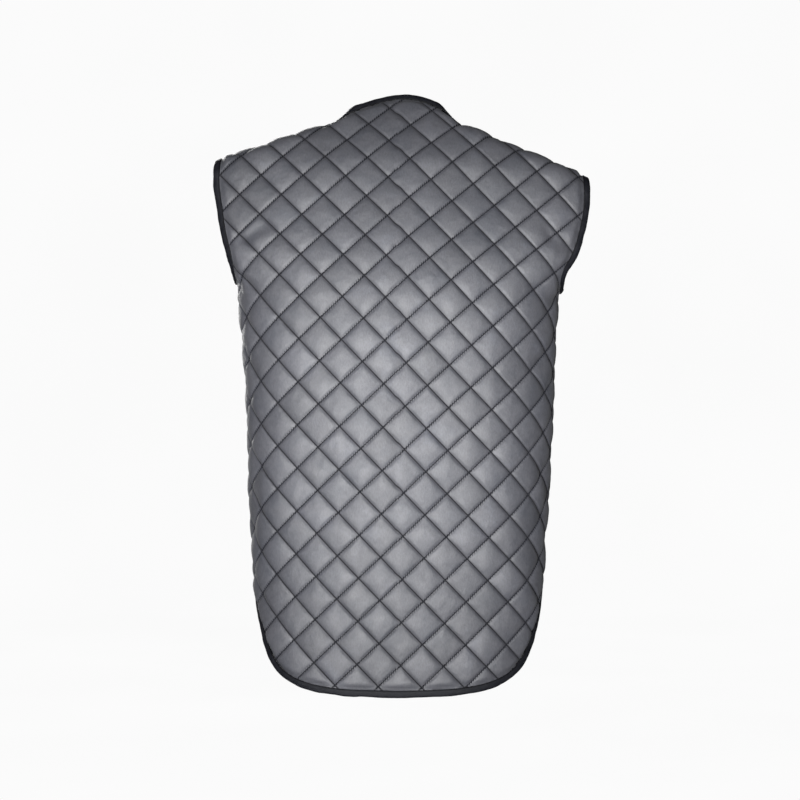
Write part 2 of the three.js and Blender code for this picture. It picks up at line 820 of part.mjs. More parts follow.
// Sections of the binding along a run, on the panel's own outline points. The first and last
// places lie past the run's corners, and the binding's ends follow them, so that two
// bindings meet face to face.
const outlineLimit = 0.04;
const bendLimit = 0.1;
const turnLimit = 6 * degree;
const bindingClearance = 0.7;
const longestStep = 42;
function thinnedPlaces(cloth, places) {
  const laid = places.map(({ s, t }) => cloth(s, t, 0));
  const spots = laid.map(({ point }) => point);
  const turnOf = (i, k) => laid[i].normal.angleTo(laid[k].normal);
  const awayFrom = (a, b, c) => {
    const flatBase = new THREE.Vector2(b.s - a.s, b.t - a.t);
    const flatAway = Math.abs(flatBase.cross(new THREE.Vector2(c.s - a.s, c.t - a.t)));
    return flatAway / flatBase.length();
  };
  const bendOf = (i, j, k) => {
    const line = new THREE.Line3(spots[i], spots[j]);
    return line.closestPointToPoint(spots[k], true, new THREE.Vector3()).distanceTo(spots[k]);
  };
  const kept = [1];
  const end = places.length - 2;
  while (kept[kept.length - 1] < end) {
    const from = kept[kept.length - 1];
    let reach = from + 1;
    for (let to = from + 2; to <= end; to += 1) {
      const tooLong = spots[from].distanceTo(spots[to]) > longestStep;
      let strays = turnOf(from, to) > turnLimit;
      for (let k = from + 1; k < to; k += 1) {
        const off = awayFrom(places[from], places[to], places[k]) > outlineLimit;
        if (off || bendOf(from, to, k) > bendLimit) strays = true;
      }
      if (tooLong || strays) break;
      reach = to;
    }
    kept.push(reach);
  }
  return kept.map((index) => places[index]);
}

function bindingSections(cloth, cut, places) {
  const kept = thinnedPlaces(cloth, places);
  const profile = [
    { out: bindingClearance, height: bindingInner + bindingMouth },
    { out: bindingClearance, height: bindingOuter - bindingMouth },
    { out: seamGap + bindingWidth - bindingRound, height: bindingOuter },
    { out: seamGap + bindingWidth, height: (bindingOuter + bindingInner) / 2 },
    { out: seamGap + bindingWidth - bindingRound, height: bindingInner },
  ];
  const probe = 1.5;
  return kept.map((here, k) => {
    const fallS = cut(here.s - probe, here.t) - cut(here.s + probe, here.t);
    const fallT = cut(here.s, here.t - probe) - cut(here.s, here.t + probe);
    const outward = new THREE.Vector2(fallS, fallT).normalize();
    let along = outward;
    if (k === 0 || k === kept.length - 1) {
      const past = k === 0 ? places[0] : places[places.length - 1];
      along = new THREE.Vector2(here.s - past.s, here.t - past.t).normalize();
    }
    const stretch = 1 / Math.max(sharpestMitre, along.dot(outward));
    return profile.map(({ out, height }) => {
      const reach = out * stretch;
      return cloth(here.s + along.x * reach, here.t + along.y * reach, height).point;
    });
  });
}

function loftSections(sectionsMade, closed, turned) {
  const size = sectionsMade[0].length;
  const points = sectionsMade.flat();
  const triangles = [];
  const facing = (a, b, c) => (turned ? [a, c, b] : [a, b, c]);
  const count = sectionsMade.length;
  for (let k = 0; k < (closed ? count : count - 1); k += 1) {
    const base = k * size;
    const next = ((k + 1) % count) * size;
    for (let i = 0; i < size; i += 1) {
      const j = (i + 1) % size;
      triangles.push(facing(base + i, next + i, next + j));
      triangles.push(facing(base + i, next + j, base + j));
    }
  }
  if (!closed) {
    const last = (count - 1) * size;
    for (let i = 1; i < size - 1; i += 1) {
      triangles.push(facing(0, i, i + 1));
      triangles.push(facing(last, last + i + 1, last + i));
    }
  }
  return meshGeometry(points, triangles);
}

function makeBinding(name, made, cutName) {
  const runs = runAlong(made, cutName);
  const longest = runs.sort((a, b) => b.length - a.length)[0];
  const sectionsMade = bindingSections(made.cloth, made.cuts[cutName], longest);
  const geometry = loftSections(sectionsMade, false, !made.turned);
  return namedMesh(name, geometry, bindingColour, bindingRoughness);
}

// The ring round an armhole joins the back's run and the front's run.
function makeArmholeBinding(name, back, front, way) {
  const backRun = runAlong(back, 'armhole').find((run) => Math.sign(run[2].s) === way);
  const frontRun = runAlong(front, 'armhole')[0];
  const backSections = bindingSections(back.cloth, back.cuts.armhole, backRun);
  const frontSections = bindingSections(front.cloth, front.cuts.armhole, frontRun);
  const ring = [...backSections, ...frontSections.reverse()];
  return namedMesh(name, loftSections(ring, true, !back.turned), bindingColour, bindingRoughness);
}

function studDisc(name, cloth, t, height, radius, thickness, dome) {
  const profile = [
    new THREE.Vector2(0, 0),
    new THREE.Vector2(radius, 0),
    new THREE.Vector2(radius, thickness - dome),
    new THREE.Vector2(radius * studFlatShare, thickness),
    new THREE.Vector2(0, thickness),
  ];
  const { point, normal } = cloth(0, t, height);
  const mesh = namedMesh(name, new THREE.LatheGeometry(profile, studFacets), studColour, studRoughness);
  mesh.quaternion.setFromUnitVectors(new THREE.Vector3(0, 1, 0), normal);
  mesh.position.copy(point);
  return mesh;
}

function makeStud(number) {
  const t = frontRuler.lengthAt(studTopZ - studSpacing * (number - 1));
  const capSeat = wall + seamGap;
  const socketThickness = lapRaise - wall - 2 * seamGap;
  return [
    studDisc(`stud_cap_${number}`, frontLeftCloth, t, capSeat, studRadius, studCapHeight, studCapDome),
    studDisc(
      `stud_socket_${number}`, frontRightCloth, t, capSeat, socketRadius, socketThickness, studEdgeDome,
    ),
    studDisc(
      `stud_post_${number}`, frontRightCloth, t, -seamGap - postHeight, postRadius, postHeight,
      studEdgeDome,
    ),
  ];
}

const aboveShoulders = 60;
const backReach = 270;
const frontReach = 280;
const pastCentre = 30;
const mergeBelowZ = -60;
const lowestT = backRuler.lengthAt(backHemZ) - gridStep;
const highestT = backRuler.lengthAt(aboveShoulders);
const backBounds = { left: -backReach, right: backReach, low: lowestT, high: highestT };
const frontHighestT = frontRuler.lengthAt(aboveShoulders);
const frontLowestT = frontRuler.lengthAt(frontHemZ) - gridStep;
const leftBounds = { left: -pastCentre, right: frontReach, low: frontLowestT, high: frontHighestT };
const rightBounds = { left: -frontReach, right: pastCentre, low: frontLowestT, high: frontHighestT };

const backLattice = {
  s: quiltNodeBack.s,
  columnLean: Math.tan(quiltColumnLean),
  rowLean: Math.tan(quiltRowLean),
};
const frontLattice = { s: quiltNodeFront.s, columnLean: 0, rowLean: 0 };
const mergeBelow = (ruler) => {
  const limit = ruler.lengthAt(mergeBelowZ);
  return (vertex) => vertex.t < limit;
};
const leftStand = (s) => smoothStep(flatStand, flatStandEnd, s);
const rightStand = (s) => smoothStep(flatStand, flatStandEnd, -s);

const back = makePanel(
  'back', backCloth, backCuts, backLattice, backBounds, () => 1, mergeBelow(backRuler), true,
);
const frontLeft = makePanel(
  'front_left', frontLeftCloth, frontCuts(1), frontLattice, leftBounds, leftStand,
  mergeBelow(frontRuler), false,
);
const frontRight = makePanel(
  'front_right', frontRightCloth, frontCuts(-1), frontLattice, rightBounds, rightStand,
  mergeBelow(frontRuler), false,
);

const gilet = new THREE.Group();
gilet.add(back.mesh, frontLeft.mesh, frontRight.mesh);
gilet.add(makeBinding('neck_binding', back, 'neck'));
gilet.add(makeBinding('hem_binding', back, 'hem'));
gilet.add(makeBinding('front_binding_left', frontLeft, 'outline'));
gilet.add(makeBinding('front_binding_right', frontRight, 'outline'));
gilet.add(makeArmholeBinding('armhole_binding_left', back, frontLeft, 1));
gilet.add(makeArmholeBinding('armhole_binding_right', back, frontRight, -1));
for (let number = 1; number <= studCount; number += 1) gilet.add(...makeStud(number));

export default gilet;
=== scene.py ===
import math

import bpy
import numpy as np
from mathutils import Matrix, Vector


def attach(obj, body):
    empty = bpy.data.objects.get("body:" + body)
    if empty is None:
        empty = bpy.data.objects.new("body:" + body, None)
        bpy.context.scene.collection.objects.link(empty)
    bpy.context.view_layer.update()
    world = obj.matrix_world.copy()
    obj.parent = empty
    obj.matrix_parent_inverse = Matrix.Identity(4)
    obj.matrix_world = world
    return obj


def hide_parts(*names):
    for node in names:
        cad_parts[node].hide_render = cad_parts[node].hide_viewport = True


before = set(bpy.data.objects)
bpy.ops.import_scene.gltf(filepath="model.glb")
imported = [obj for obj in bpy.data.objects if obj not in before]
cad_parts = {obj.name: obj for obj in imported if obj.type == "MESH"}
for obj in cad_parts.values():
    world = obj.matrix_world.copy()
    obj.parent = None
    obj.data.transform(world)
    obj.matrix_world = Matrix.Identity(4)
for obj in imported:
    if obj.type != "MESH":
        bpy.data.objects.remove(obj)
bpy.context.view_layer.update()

# Lengths are in millimetres until a mesh is made. s runs across the cloth and t up it.
degree = math.pi / 180
metre = 0.001

# Quilting
rowSpacing = 38.1
diamond = rowSpacing * math.sqrt(2)
backLattice = {"s": -9.5, "columnLean": math.tan(-1.08 * degree), "rowLean": math.tan(1.4 * degree)}
frontLattice = {"s": 0.0, "columnLean": 0.0, "rowLean": 0.0}
latticeZ = {"back": -364.5, "front": -352}

# Form
sideNeck = 77
shoulderFall = 0.335
neckFlare = 0.022
neckFlareReach = 86
ridgeRadius = 22
seamAngle = {"back": 110 * degree, "front": 70 * degree}
sideSeamY = 12
roundness = {"back": 2.6, "front": 2.3}
seamGap = 0.3
frontNeckColumn = 77


def asTable(names, rows):
    return {name: np.array([row[k] for row in rows], dtype=float) for k, name in enumerate(names)}


sections = asTable(("z", "left", "right", "back", "front"), (
    (-760, 176, 176, 90, 98),
    (-640, 179, 180, 95, 106),
    (-586, 181, 182, 97, 110),
    (-537, 183, 185, 98, 112),
    (-486, 185, 190, 99, 115),
    (-434, 186, 192, 100, 117),
    (-357, 189, 195, 101, 119),
    (-280, 195, 197, 100, 119),
    (-228, 201, 200, 96, 116),
    (-206, 206, 205, 92, 113),
    (-172, 232, 237, 82, 105),
    (-141, 248, 257, 71, 96),
    (-110, 257, 267, 60, 84),
    (-79, 262, 273, 49, 70),
    (-50, 264, 275, 38, 56),
    (-2, 264, 275, 9, 29),
    (37, 264, 275, -18, 2),
    (80, 264, 275, -51, -30),
))
armholeWidths = asTable(("z", "left", "right"), (
    (-260, 215, 215), (-208, 205.5, 205), (-190, 206, 209), (-172, 209, 220), (-141, 217, 230),
    (-110, 222, 236), (-79, 226, 236), (-40, 224, 233), (40, 224, 233),
))
tailRise = asTable(("reach", "rise"), (
    (0, 0), (75, 3), (120, 11), (150, 26), (170, 50), (192, 88), (215, 116), (245, 129), (300, 129),
))
cuts = {
    "backHemZ": -719, "frontHemZ": -655, "sideHemRise": 129,
    "neckCentre": -14, "neckBase": -8, "neckRise": 39, "neckReachLeft": 113, "neckReachRight": 82,
    "neckSide": 76, "neckSideRise": 0.25,
    "frontNeckSide": 86, "frontNeckDepth": 125, "frontNeckCurve": 1.25, "frontNeckRound": 30,
    "frontCornerRound": 32, "panelPastCentre": 7.6,
    "scoop": 11, "scoopTop": -55, "scoopBottom": -205,
}
lap = {"raise": 6.2, "past": 17, "end": 95, "flatFrom": 24, "flatTo": 38}
droopFacts = {"fall": 18, "reach": 240, "top": -150, "bottom": -480, "curve": 1.3}
chestEase = {"centreZ": -300, "sideZ": -200, "start": 110, "end": 230}


def faceOf(side):
    return "back" if side == "back" else "front"


def sideOf(side):
    return -1 if side == "front_right" else 1


# Way out from the centre at each place: 1 on the wearer's left, -1 on the right
def waysOut(side, s):
    return np.sign(s) if side == "back" else np.full(len(s), float(sideOf(side)))


def smoothStep(low, high, value):
    share = np.clip((value - low) / (high - low), 0, 1)
    return share * share * (3 - 2 * share)


# Smooth value of a named column between the rows of a table
def columnValue(table, key, column, at):
    keys = table[key]
    values = table[column]
    last = len(keys) - 1
    index = np.clip(np.searchsorted(keys, at, side="left") - 1, 0, last - 1)
    slopes = np.empty(last + 1)
    slopes[1:-1] = (values[2:] - values[:-2]) / (keys[2:] - keys[:-2])
    slopes[0] = (values[1] - values[0]) / (keys[1] - keys[0])
    slopes[-1] = (values[-1] - values[-2]) / (keys[-1] - keys[-2])
    span = keys[index + 1] - keys[index]
    share = np.clip((at - keys[index]) / span, 0, 1)
    low = values[index]
    high = values[index + 1]
    startSlope = slopes[index] * span
    endSlope = slopes[index + 1] * span
    bend = 3 * (high - low) - 2 * startSlope - endSlope
    twist = 2 * (low - high) + startSlope + endSlope
    return low + share * (startSlope + share * (bend + share * twist))


def sideValue(table, across, z):
    left = columnValue(table, "z", "left", z)
    right = columnValue(table, "z", "right", z)
    return np.where(across >= 0, left, right)


# Length walked from the first point of a line to each of its points
def walkedLength(points):
    steps = np.linalg.norm(np.diff(points, axis=0), axis=1)
    return np.concatenate(([0], np.cumsum(steps)))


arcSamples = 120
arcAngles = np.linspace(0, math.pi / 2, arcSamples + 1)


# A quarter of a rounded section, walked by its own length from the centre to the side
def quarterArc(face, halfWidth, depth, reach=None):
    power = 2 / roundness[face]
    sines = np.sin(arcAngles) ** power
    cosines = np.maximum(0, np.cos(arcAngles)) ** power
    total = len(halfWidth)
    x = np.empty(total)
    y = np.empty(total)
    chunk = 8000
    for start in range(0, total, chunk):
        part = slice(start, start + chunk)
        stepX = halfWidth[part, None] * np.diff(sines)
        stepY = depth[part, None] * np.diff(cosines)
        lengths = np.cumsum(np.hypot(stepX, stepY), axis=1)
        if reach is None:
            x[part] = lengths[:, -1]
            continue
        index = (lengths < reach[part, None]).sum(axis=1)
        inside = np.minimum(index, arcSamples - 1)
        rows = np.arange(len(inside))
        before = np.where(inside > 0, lengths[rows, np.maximum(inside - 1, 0)], 0)
        share = (reach[part] - before) / (lengths[rows, inside] - before)
        angle = (inside + share) / arcSamples * math.pi / 2
        angle = np.clip(angle, 0, math.pi / 2)
        past = index >= arcSamples
        x[part] = np.where(past, halfWidth[part], halfWidth[part] * np.sin(angle) ** power)
        onArc = depth[part] * np.maximum(0, np.cos(angle)) ** power
        y[part] = np.where(past, lengths[:, -1] - reach[part], onArc)
    return (x, y)


def makeRuler(face):
    z = np.arange(-760, 81, 2.0)
    depth = columnValue(sections, "z", face, z)
    length = walkedLength(np.stack((z, depth), axis=1))
    return {"z": z, "t": length - np.interp(latticeZ[face], z, length)}


rulers = {face: makeRuler(face) for face in ("back", "front")}


def heightAt(face, t):
    return np.interp(t, rulers[face]["t"], rulers[face]["z"])


def lengthAt(face, z):
    return np.interp(z, rulers[face]["z"], rulers[face]["t"])


def ridgeHeight(x):
    flare = np.maximum(0, neckFlareReach - np.abs(x))
    return -shoulderFall * (np.abs(x) - sideNeck) + neckFlare * flare * flare


def droop(x, z):
    outward = (np.clip(-x, 0, droopFacts["reach"]) / droopFacts["reach"]) ** droopFacts["curve"]
    return droopFacts["fall"] * outward * smoothStep(droopFacts["bottom"], droopFacts["top"], z)


# Point of the plain form, below the shoulder's turn
def formPoint(face, s, t):
    z = heightAt(face, t)
    halfWidth = sideValue(sections, s, z)
    depth = columnValue(sections, "z", face, z)
    x, y = quarterArc(face, halfWidth, depth, np.abs(s))
    way = 1 if face == "back" else -1
    return (np.sign(s) * x, sideSeamY + way * y, z)


# Where each column of cloth starts its turn over the shoulder
def findTurns(face, columns, topHeight, lowZ, highZ):
    probe = 2
    low = np.full(len(columns), lengthAt(face, lowZ))
    high = np.full(len(columns), lengthAt(face, highZ))
    for _ in range(27):
        middle = (low + high) / 2
        x, y, z = formPoint(face, columns, middle)
        _, belowY, belowZ = formPoint(face, columns, middle - probe)
        lean = np.arctan2(np.abs(y - belowY), z - belowZ)
        rise = ridgeRadius * (math.sin(min(seamAngle[face], math.pi / 2)) - np.sin(lean))
        over = z + rise - topHeight(x) >= 0
        high = np.where(over, middle, high)
        low = np.where(over, low, middle)
    return {"t": middle, "x": x, "y": y, "z": z, "lean": lean}


turnColumns = np.arange(-300, 301, 2.0)
turns = {}
turns["back"] = findTurns("back", turnColumns, ridgeHeight, -200, 70)
turns["back"]["setBack"] = np.zeros(len(turnColumns))
turns["back"]["seamT"] = turns["back"]["t"] + ridgeRadius * (seamAngle["back"] - turns["back"]["lean"])


# The shoulder seam that both faces share, before the droop
def makeSeam(way):
    columns = np.arange(30, 277, 6.0) * way
    turn = {key: np.interp(columns, turnColumns, value) for key, value in turns["back"].items()}
    endAngle = seamAngle["back"]
    return {
        "x": np.abs(turn["x"]),
        "y": turn["y"] - ridgeRadius * (np.cos(turn["lean"]) - math.cos(endAngle)),
        "z": turn["z"] + ridgeRadius * (math.sin(endAngle) - np.sin(turn["lean"])),
    }


seams = {"left": makeSeam(1), "right": makeSeam(-1)}


def seamValue(x, column):
    left = columnValue(seams["left"], "x", column, np.abs(x))
    right = columnValue(seams["right"], "x", column, np.abs(x))
    return np.where(x >= 0, left, right)


def makeFrontTurns():
    ways = np.where(turnColumns < 0, -1, 1)
    columns = np.where(np.abs(turnColumns) < frontNeckColumn, frontNeckColumn * ways, turnColumns)
    turn = findTurns("front", columns, lambda x: seamValue(x, "z"), -220, 70)
    across = ridgeRadius * (np.cos(turn["lean"]) - math.cos(seamAngle["front"]))
    turn["setBack"] = seamValue(turn["x"], "y") - across - turn["y"]
    turn["seamT"] = turn["t"] + ridgeRadius * (seamAngle["front"] - turn["lean"])
    turn["x"], turn["y"], turn["z"] = formPoint("front", turnColumns, turn["t"])
    return turn


turns["front"] = makeFrontTurns()


# Places of the bare form, as an array of points
def surfacePoints(face, s, t):
    way = 1 if face == "back" else -1
    turnT, turnX, turnY, turnZ, lean, setBack = (
        np.interp(s, turnColumns, turns[face][key]) for key in ("t", "x", "y", "z", "lean", "setBack")
    )
    x, y, z = formPoint(face, s, np.minimum(t, turnT))
    if face == "front":
        sideShare = smoothStep(chestEase["start"], chestEase["end"], np.abs(s))
        start = chestEase["centreZ"] + (chestEase["sideZ"] - chestEase["centreZ"]) * sideShare
        y = y + setBack * smoothStep(start, turnZ, z)
    angle = lean + (t - turnT) / ridgeRadius
    over = t > turnT
    x = np.where(over, turnX, x)
    y = np.where(over, turnY + setBack - way * ridgeRadius * (np.cos(lean) - np.cos(angle)), y)
    z = np.where(over, turnZ + ridgeRadius * (np.sin(angle) - np.sin(lean)), z)
    return np.stack((x, y, z - droop(x, z)), axis=1)


# Smooth seeded noise, about -1 to 1, in eight layers that repeat
noiseSize = 64
noiseTable = np.random.default_rng(71).uniform(-1, 1, (8, noiseSize, noiseSize))


def cellNoise(layer, a, b):
    return noiseTable[layer][a % noiseSize, b % noiseSize]


def smoothNoise(layer, a, b):
    cellA = np.floor(a).astype(int)
    cellB = np.floor(b).astype(int)
    shareA = smoothStep(0, 1, a - cellA)
    shareB = smoothStep(0, 1, b - cellB)
    low, high = (
        cellNoise(layer, cellA, cell) * (1 - shareA) + cellNoise(layer, cellA + 1, cell) * shareA
        for cell in (cellB, cellB + 1)
    )
    return low * (1 - shareB) + high * shareB


# Creases placed on face 0 (back) or 1 (front): from one place on the cloth to another
creaseFacts = {"broad": 1.5, "fine": 0.7, "wander": 3, "wanderPitch": 22}
creaseNames = ("face", "startS", "startT", "endS", "endT", "width", "height")
creases = asTable(creaseNames, (
    (0, 206, 208.5, 158, 234.5, 9, -3.2),
    (0, 214, 180.5, 176, 162.5, 8, 2.2),
    (0, 232, 162.5, 196, 132.5, 7, -2.8),
    (0, 226, 72.5, 176, 42.5, 11, -2.4),
    (0, 222, 46.5, 180, 72.5, 12, 1.8),
    (0, -206, 72.5, -126, 20.5, 16, -2.6),
    (0, -190, 52.5, -110, -1.5, 18, 2.4),
    (0, -226, 208.5, -178, 248.5, 9, -2.6),
    (0, -240, 162.5, -190, 140.5, 8, -2.4),
    (0, 60, 312.5, 150, 262.5, 26, 1.8),
    (0, -40, 302.5, -140, 274.5, 26, -1.6),
    (0, 20, 132.5, 40, -187.5, 34, 2.2),
    (0, -60, 72.5, -76, -247.5, 30, -2.2),
    (0, 110, -27.5, 128, -277.5, 26, -2),
    (0, -150, -107.5, -166, -287.5, 24, 1.9),
    (0, 180, -47.5, 210, -197.5, 14, -2.4),
    (0, -196, -47.5, -214, -177.5, 14, -2),
    (1, 218, 150, 170, 190, 9, -3.0),
    (1, 224, 176, 180, 140, 9, 2.2),
    (1, 60, 210, 120, 250, 22, 2.0),
    (1, 90, 120, 60, -200, 28, -2.2),
    (1, 150, 40, 140, -250, 24, 2.2),
    (1, 226, 50, 170, 10, 11, -2.4),
    (1, -222, 156, -176, 196, 9, -2.8),
    (1, -226, 130, -180, 120, 9, 2.0),
    (1, -70, 226, -130, 240, 22, -1.8),
    (1, -80, 100, -66, -210, 28, 2.2),
    (1, -146, 60, -156, -240, 24, -2.2),
    (1, -224, 44, -172, 22, 11, -2.4),
))


def creaseHeight(face, s, t):
    layer = 0 if face == "back" else 1
    height = smoothNoise(layer, s / 88 + 7, t / 120 + 5) * creaseFacts["broad"]
    height = height + smoothNoise(layer + 2, s / 36 + 3, t / 52 + 9) * creaseFacts["fine"]
    pitch = creaseFacts["wanderPitch"]
    wander = creaseFacts["wander"] * smoothNoise(layer + 4, s / pitch, t / pitch)
    for row in np.flatnonzero(creases["face"] == layer):
        startS, startT, endS, endT, width, peak = (creases[name][row] for name in creaseNames[1:])
        alongS = endS - startS
        alongT = endT - startT
        size = alongS * alongS + alongT * alongT
        share = ((s - startS) * alongS + (t - startT) * alongT) / size
        away = ((s - startS) * alongT - (t - startT) * alongS) / math.sqrt(size) + wander
        ends = smoothStep(-0.15, 0.3, share) * smoothStep(1.15, 0.6, share)
        height = height + peak * ends * np.exp(-((away / width) ** 2))
    return height


def lapRaise(side, s):
    if side != "front_left":
        return np.zeros(len(s))
    return lap["raise"] * (1 - smoothStep(lap["past"], lap["end"], s))


# Points of a cloth, moved out from the form, with their outward normals
def clothPoints(side, s, t, height, quiet):
    face = faceOf(side)
    probe = 0.6
    here = surfacePoints(face, s, t)
    across = surfacePoints(face, s + probe, t) - surfacePoints(face, s - probe, t)
    up = surfacePoints(face, s, t + probe) - surfacePoints(face, s, t - probe)
    normal = np.cross(up, across) if face == "back" else np.cross(across, up)
    normal = normal / np.linalg.norm(normal, axis=1)[:, None]
    lift = height + lapRaise(side, s) + creaseHeight(face, s, t) * quiet
    return (here + normal * lift[:, None], normal)


def roundedMeet(a, b, radius):
    near = np.hypot(np.maximum(radius - a, 0), np.maximum(radius - b, 0))
    return np.maximum(radius, np.minimum(a, b)) - near


# Each cut gives the distance inside its line
def hemCut(side, s, t):
    rise = columnValue(tailRise, "reach", "rise", np.abs(s))
    if side == "back":
        return t - lengthAt("back", cuts["backHemZ"] + rise)
    share = (cuts["backHemZ"] + cuts["sideHemRise"] - cuts["frontHemZ"]) / cuts["sideHemRise"]
    return t - lengthAt("front", cuts["frontHemZ"] + rise * share)


def sideSeamCut(side, s, t):
    face = faceOf(side)
    z = heightAt(face, t)
    way = waysOut(side, s)
    depth = columnValue(sections, "z", face, z)
    return quarterArc(face, sideValue(sections, way, z), depth)[0] - way * s - seamGap / 2


def armholeCut(side, s, t):
    face = faceOf(side)
    point = surfacePoints(face, s, t)
    width = sideValue(armholeWidths, point[:, 0], point[:, 2])
    if face == "front":
        share = (point[:, 2] - cuts["scoopBottom"]) / (cuts["scoopTop"] - cuts["scoopBottom"])
        width = width - cuts["scoop"] * np.sin(math.pi * np.clip(share, 0, 1)) ** 2
    return width - np.abs(point[:, 0])


def shoulderCut(side, s, t):
    return np.interp(s, turnColumns, turns[faceOf(side)]["seamT"]) - t - seamGap / 2


def backNeckCut(side, s, t):
    reach = np.where(s > cuts["neckCentre"], cuts["neckReachLeft"], cuts["neckReachRight"])
    turn = np.minimum(1, np.abs(s - cuts["neckCentre"]) / reach)
    z = cuts["neckBase"] + cuts["neckRise"] * np.cos(turn * math.pi / 2)
    rise = cuts["neckSideRise"] * np.maximum(0, np.abs(s) - cuts["neckSide"]) ** 2
    return lengthAt("back", z) + rise - t


def outlineCut(side, s, t):
    way = sideOf(side)
    point = surfacePoints("front", s, t)
    share = np.maximum(0, -point[:, 2] / cuts["frontNeckDepth"]) ** cuts["frontNeckCurve"]
    width = cuts["frontNeckSide"]
    neck = way * point[:, 0] - (width - (width + cuts["panelPastCentre"]) * share)
    upper = roundedMeet(neck, way * s + cuts["panelPastCentre"], cuts["frontNeckRound"])
    return roundedMeet(upper, hemCut(side, s, t), cuts["frontCornerRound"])


boundEdges = {
    "back": (hemCut, armholeCut, backNeckCut),
    "front_left": (armholeCut, outlineCut),
    "front_right": (armholeCut, outlineCut),
}
latticeOf = {"back": backLattice, "front_left": frontLattice, "front_right": frontLattice}


# Least distance inside the bound edges
def insideEdges(side, s, t):
    return np.minimum.reduce([cut(side, s, t) for cut in boundEdges[side]])


# Least distance inside the plain seams
def insideSeams(side, s, t):
    return np.minimum(sideSeamCut(side, s, t), shoulderCut(side, s, t))


def quiltShares(side, s, t):
    lattice = latticeOf[side]
    size = diamond * (1 - lattice["columnLean"] * lattice["rowLean"])
    across = (s - lattice["s"] - lattice["columnLean"] * t) / size
    up = (t - lattice["rowLean"] * (s - lattice["s"])) / size
    return (across + up, across - up)


# A mesh from points in millimetres and faces, with the cloth's own coordinates
def makeMesh(name, points, faces, clothPlaces=None, materialIndex=None):
    mesh = bpy.data.meshes.new(name)
    corners = np.asarray(faces, dtype=np.int32)
    count = len(corners)
    size = corners.shape[1]
    mesh.vertices.add(len(points))
    mesh.vertices.foreach_set("co", (np.asarray(points) * metre).ravel())
    mesh.loops.add(count * size)
    mesh.loops.foreach_set("vertex_index", corners.ravel())
    mesh.polygons.add(count)
    mesh.polygons.foreach_set("loop_start", np.arange(count, dtype=np.int32) * size)
    mesh.polygons.foreach_set("use_smooth", np.full(count, True))
    if materialIndex is not None:
        mesh.polygons.foreach_set("material_index", np.asarray(materialIndex, dtype=np.int32))
    mesh.update(calc_edges=True)
    if clothPlaces is not None:
        layer = mesh.uv_layers.new(name="cloth")
        layer.data.foreach_set("uv", (clothPlaces[corners.ravel()] * metre).ravel())
    mesh.validate()
    piece = bpy.data.objects.new(name, mesh)
    bpy.context.collection.objects.link(piece)
    return piece


# Relief of the quilting: flat-topped diamonds with fine wrinkles drawn in by the stitches
puffFacts = {
    "height": 4.4, "power": 0.40, "pinch": 8, "unevenness": 0.14, "tilt": 0.22,
    "wrinkle": 0.3, "pucker": 0.26, "puckerReach": 7, "puckerPitch": 4.2, "rowNarrowing": 1.9,
}
wall = 2.0


def hill(share):
    local = share - np.floor(share)
    return 4 * local * (1 - local)


# Distances to the nearest sewn row of each family
def rowDistances(u, v):
    return [np.abs(share - np.round(share)) * rowSpacing for share in (u, v)]


def reliefAt(side, s, t):
    u, v = quiltShares(side, s, t)
    cellU = np.floor(u).astype(int)
    cellV = np.floor(v).astype(int)
    fullness = 1 + puffFacts["unevenness"] * cellNoise(5, cellU, cellV)
    tilt = cellNoise(6, cellU, cellV) * (u - cellU - 0.5) + cellNoise(7, cellU, cellV) * (v - cellV - 0.5)
    body = (hill(u) * hill(v)) ** puffFacts["power"]
    puff = puffFacts["height"] * body * fullness * (1 + puffFacts["tilt"] * tilt)
    nearU, nearV = (np.exp(-((away / puffFacts["puckerReach"]) ** 2)) for away in rowDistances(u, v))
    pitch = puffFacts["puckerPitch"] / rowSpacing
    pucker = smoothNoise(3, v / pitch + cellU * 7.3, cellU * 3.1) * nearU
    pucker = pucker + smoothNoise(4, u / pitch + cellV * 5.7, cellV * 2.3) * nearV
    wrinkle = smoothNoise(0, s / 8.5 + t / 21, t / 9.5 + 11)
    wrinkle = wrinkle + 0.6 * smoothNoise(1, s / 5.2, t / 6.1 - s / 16)
    puff = puff + pucker * puffFacts["pucker"] * np.minimum(1, body * 3)
    puff = puff + wrinkle * puffFacts["wrinkle"] * np.minimum(1, body * 1.6)
    return np.maximum(0, puff)


def quietNear(side, s, t):
    if side == "back":
        return np.ones(len(s))
    return smoothStep(lap["flatFrom"] - 6, lap["end"], sideOf(side) * s)


# Height of the quilting over the wall, eased off at bindings, seams and the lap
def outerRelief(side, s, t):
    edgeShare = smoothStep(0, puffFacts["pinch"], insideEdges(side, s, t))
    seamShare = smoothStep(0, puffFacts["pinch"], insideSeams(side, s, t))
    flat = 1.0
    if side != "back":
        flat = smoothStep(lap["flatFrom"], lap["flatTo"], sideOf(side) * s)
    return reliefAt(side, s, t) * edgeShare * seamShare * flat


# Reach of each panel's grid: lowest and highest s, then lowest and highest t
panelBounds = {
    "back": (-272, 272, -400, 450),
    "front_left": (-24, 284, -340, 430),
    "front_right": (-284, 24, -340, 430),
}
panelPitch = diamond / 18
panelFacts = {"tuckIn": 4.0, "leastArea": 0.01}


# Distance to the nearest sewn row, which the material turns into painted groove shade and rougher cloth, and
# a tone for each diamond
def markRows(piece, u, v):
    nearU, nearV = rowDistances(u, v)
    tone = cellNoise(5, *(np.round(share - 0.5).astype(int) for share in (u, v)))
    near = np.minimum(nearU * puffFacts["rowNarrowing"], nearV)
    for name, values in (("rowDistance", near), ("diamondTone", tone)):
        attribute = piece.data.attributes.new(name, "FLOAT", "POINT")
        attribute.data.foreach_set("value", np.tile(values, 2))


